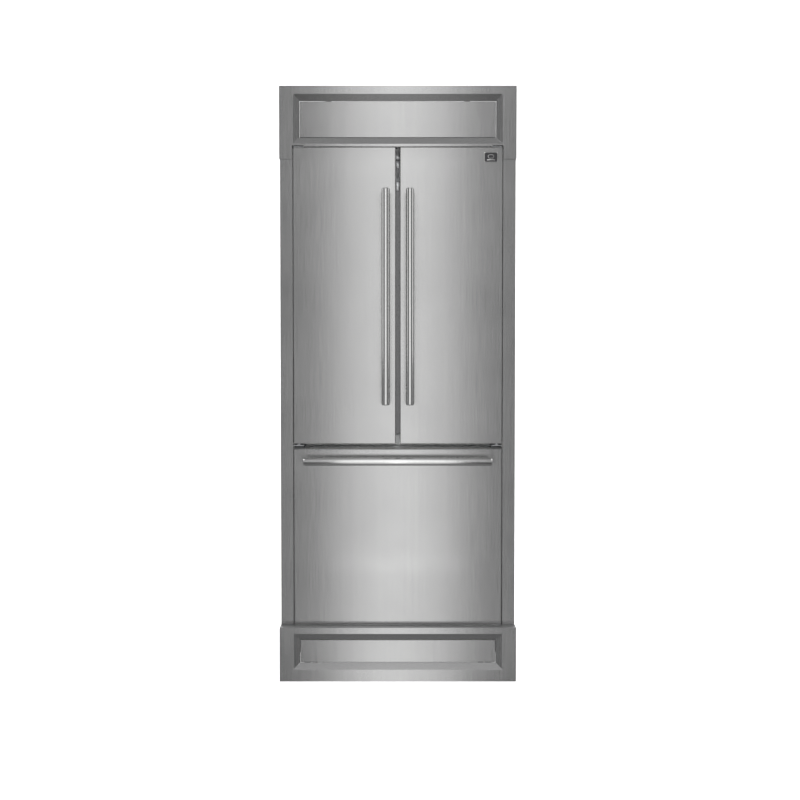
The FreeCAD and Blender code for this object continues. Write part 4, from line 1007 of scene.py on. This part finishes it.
# brightness of the surroundings on the way from straight down (0) to straight up (1)
STRAIGHT_DOWN, STRAIGHT_UP = (0.40, 0.40, 0.405), (0.68, 0.68, 0.685)
WORLD_LEVELS = (
    (0.10, 0.28), (0.20, 0.19), (0.30, 0.13), (0.345, 0.205), (0.65, 0.205),
    (0.69, 1.5), (0.76, 1.5), (0.79, 0.64), (0.90, 0.60),
)
WORLD_BLUE = 1.01

# how steep directions fall off sideways, from the middle (0) to the side (1)
STEEP_MIDDLE, STEEP_END = (1, 1, 1), (0.8, 0.8, 0.8)
STEEP_SIDES = ((0.04, 0.82), (0.09, 0.24), (0.14, 0.13), (0.24, 0.28), (0.60, 0.45))
STEEP_FROM, STEEP_TO = 0.30, 0.42

# how strong the front is sideways, as a part of SIDES_POWER: a soft box, then a darker wall
FRONT_MIDDLE, FRONT_END = (0.25, 0.25, 0.25), (0.26, 0.26, 0.26)
FRONT_SIDES = ((0.27, 0.25), (0.31, 0.85), (0.46, 0.85), (0.54, 0.12), (0.68, 0.14), (0.85, 0.26))
SIDES_POWER, BACK_POWER = 4, 3.0


def grey_ramp(tree, value, first, last, stops, blue=1.0):
    """A ramp from one colour to another, by way of greys at (position, level) stops."""
    node = tree.nodes.new("ShaderNodeValToRGB")
    elements = node.color_ramp.elements
    elements[0].position, elements[0].color = 0.0, (*first, 1)
    elements[1].position, elements[1].color = 1.0, (*last, 1)
    for position, level in stops:
        elements.new(position).color = (level, level, level * blue, 1)
    tree.links.new(value, node.inputs["Fac"])
    return node.outputs["Color"]


def studio_world():
    """Soft surroundings for light and reflections; the picture's own background is white."""
    world = bpy.data.worlds.new("studio")
    world.use_nodes = True
    tree = world.node_tree
    place = tree.nodes.new("ShaderNodeTexCoord")
    axes = tree.nodes.new("ShaderNodeSeparateXYZ")
    tree.links.new(place.outputs["Generated"], axes.inputs["Vector"])
    upward = spread(tree, axes.outputs["Z"], 0, 1, -1, 1)
    height = grey_ramp(tree, upward, STRAIGHT_DOWN, STRAIGHT_UP, WORLD_LEVELS, WORLD_BLUE)
    across = math_node(tree, "ABSOLUTE", axes.outputs["X"])
    climb = math_node(tree, "ABSOLUTE", axes.outputs["Z"])
    steep = spread(tree, climb, 0, 1, STEEP_FROM, STEEP_TO)
    narrow = grey_ramp(tree, across, STEEP_MIDDLE, STEEP_END, STEEP_SIDES)
    color = multiply_colors(tree, steep, height, narrow)
    front = grey_ramp(tree, across, FRONT_MIDDLE, FRONT_END, FRONT_SIDES)
    sides = spread(tree, front, 0, SIDES_POWER)
    behind = spread(tree, axes.outputs["Y"], 0.0, BACK_POWER, 0.1, 0.5)
    background = tree.nodes["Background"]
    tree.links.new(color, background.inputs["Color"])
    tree.links.new(math_node(tree, "MAXIMUM", sides, behind), background.inputs["Strength"])
    paper = tree.nodes.new("ShaderNodeBackground")
    paper.inputs["Color"].default_value = (1, 1, 1, 1)
    seen = tree.nodes.new("ShaderNodeLightPath")
    either_way = tree.nodes.new("ShaderNodeMixShader")
    tree.links.new(seen.outputs["Is Camera Ray"], either_way.inputs["Fac"])
    tree.links.new(background.outputs["Background"], either_way.inputs[1])
    tree.links.new(paper.outputs["Background"], either_way.inputs[2])
    tree.links.new(either_way.outputs["Shader"], tree.nodes["World Output"].inputs["Surface"])
    scene.world = world


studio_world()


def area_light(name, place, target, width, height, power):
    """A rectangular light, aimed at a point and hidden from the camera."""
    light = bpy.data.lights.new(name, "AREA")
    light.shape = "RECTANGLE"
    light.size = width
    light.size_y = height
    light.energy = power
    lamp = bpy.data.objects.new(name, light)
    scene.collection.objects.link(lamp)
    lamp.location = place
    lamp.rotation_euler = (Vector(target) - lamp.location).to_track_quat("-Z", "Y").to_euler()
    lamp.visible_camera = False
    return lamp


MIRRORED_EYE = (0, CAMERA_DISTANCE + DOOR_FACE, EYE_HEIGHT)
STRIP_LOW, STRIP_HIGH, STRIP_COUNT = -0.45, 2.65, 5
STRIP_HEIGHT = (STRIP_HIGH - STRIP_LOW) / STRIP_COUNT
STRIP_SPREAD = math.radians(100)
STRIP_WIDE, STRIP_POWER, STRIP_FRONT = 0.56, 0.255, -1.45
CORE_WIDE, CORE_POWER, CORE_FRONT = 0.05, 0.02, -1.44


def front_strips():
    """A tall narrow light that gives the bright band down the middle of the steel.

    It is curved towards the place where the camera's mirror image would be, and shines only
    straight ahead.
    """
    for i in range(STRIP_COUNT):
        z = STRIP_LOW + (i + 0.5) * STRIP_HEIGHT
        for name, y, wide, power in (
            ("front_strip", STRIP_FRONT, STRIP_WIDE, STRIP_POWER),
            ("front_core", CORE_FRONT, CORE_WIDE, CORE_POWER),
        ):
            lamp = area_light(f"{name}_{i}", (0, y, z), MIRRORED_EYE, wide, STRIP_HEIGHT, power)
            lamp.data.spread = STRIP_SPREAD


front_strips()

# these two reach plastics and paint, and stay out of the steel's reflections
area_light("top_soft", (0, -1.6, 3.6), (0, -0.2, 1.0), 2.4, 1.2, 14).visible_glossy = False
area_light("front_soft", (0, -3.6, 1.5), (0, 0, 1.0), 3.0, 2.4, 60).visible_glossy = False
area_light("left_fill", (-3.4, -0.6, 2.2), (0, 0, 1.1), 1.6, 2.4, 8)
area_light("right_fill", (3.4, -0.6, 2.2), (0, 0, 1.1), 1.6, 2.4, 8)
area_light("back_fill", (0, 3.6, 2.6), (0, 0, 1.0), 2.6, 2.0, 20)

SWEEP_RADIUS, SWEEP_STEPS = 2.0, 16
FLOOR_FRONT, FLOOR_BACK, FLOOR_HALF, BACKDROP_TOP = -7.0, 5.0, 9.0, 8.0


def stage():
    """A pale floor that sweeps up into a backdrop."""
    sweep = FLOOR_BACK - SWEEP_RADIUS
    line = [(FLOOR_FRONT, 0.0), (sweep, 0.0)]
    for i in range(1, SWEEP_STEPS + 1):
        turn = math.radians(90 * i / SWEEP_STEPS)
        across, up = SWEEP_RADIUS * math.sin(turn), SWEEP_RADIUS * math.cos(turn)
        line.append((sweep + across, SWEEP_RADIUS - up))
    line.append((FLOOR_BACK, BACKDROP_TOP))
    shape = bmesh.new()
    rows = [[shape.verts.new((side * FLOOR_HALF, y, z)) for side in (-1, 1)] for y, z in line]
    for lower, upper in zip(rows, rows[1:]):
        shape.faces.new((lower[0], lower[1], upper[1], upper[0]))
    mesh = bpy.data.meshes.new("studio_floor")
    shape.to_mesh(mesh)
    shape.free()
    mesh.polygons.foreach_set("use_smooth", [True] * len(mesh.polygons))
    piece = bpy.data.objects.new("studio_floor", mesh)
    scene.collection.objects.link(piece)
    material, tree, shader = new_material("studio_paper")
    tree.links.new(spread(tree, noise(tree, 400), 0.88, 0.92), shader.inputs["Roughness"])
    shader.inputs["Base Color"].default_value = (0.93, 0.93, 0.93, 1)
    shader.inputs["Emission Color"].default_value = (1, 1, 1, 1)
    shader.inputs["Emission Strength"].default_value = 0.75
    mesh.materials.append(material)
    piece.visible_glossy = False


stage()
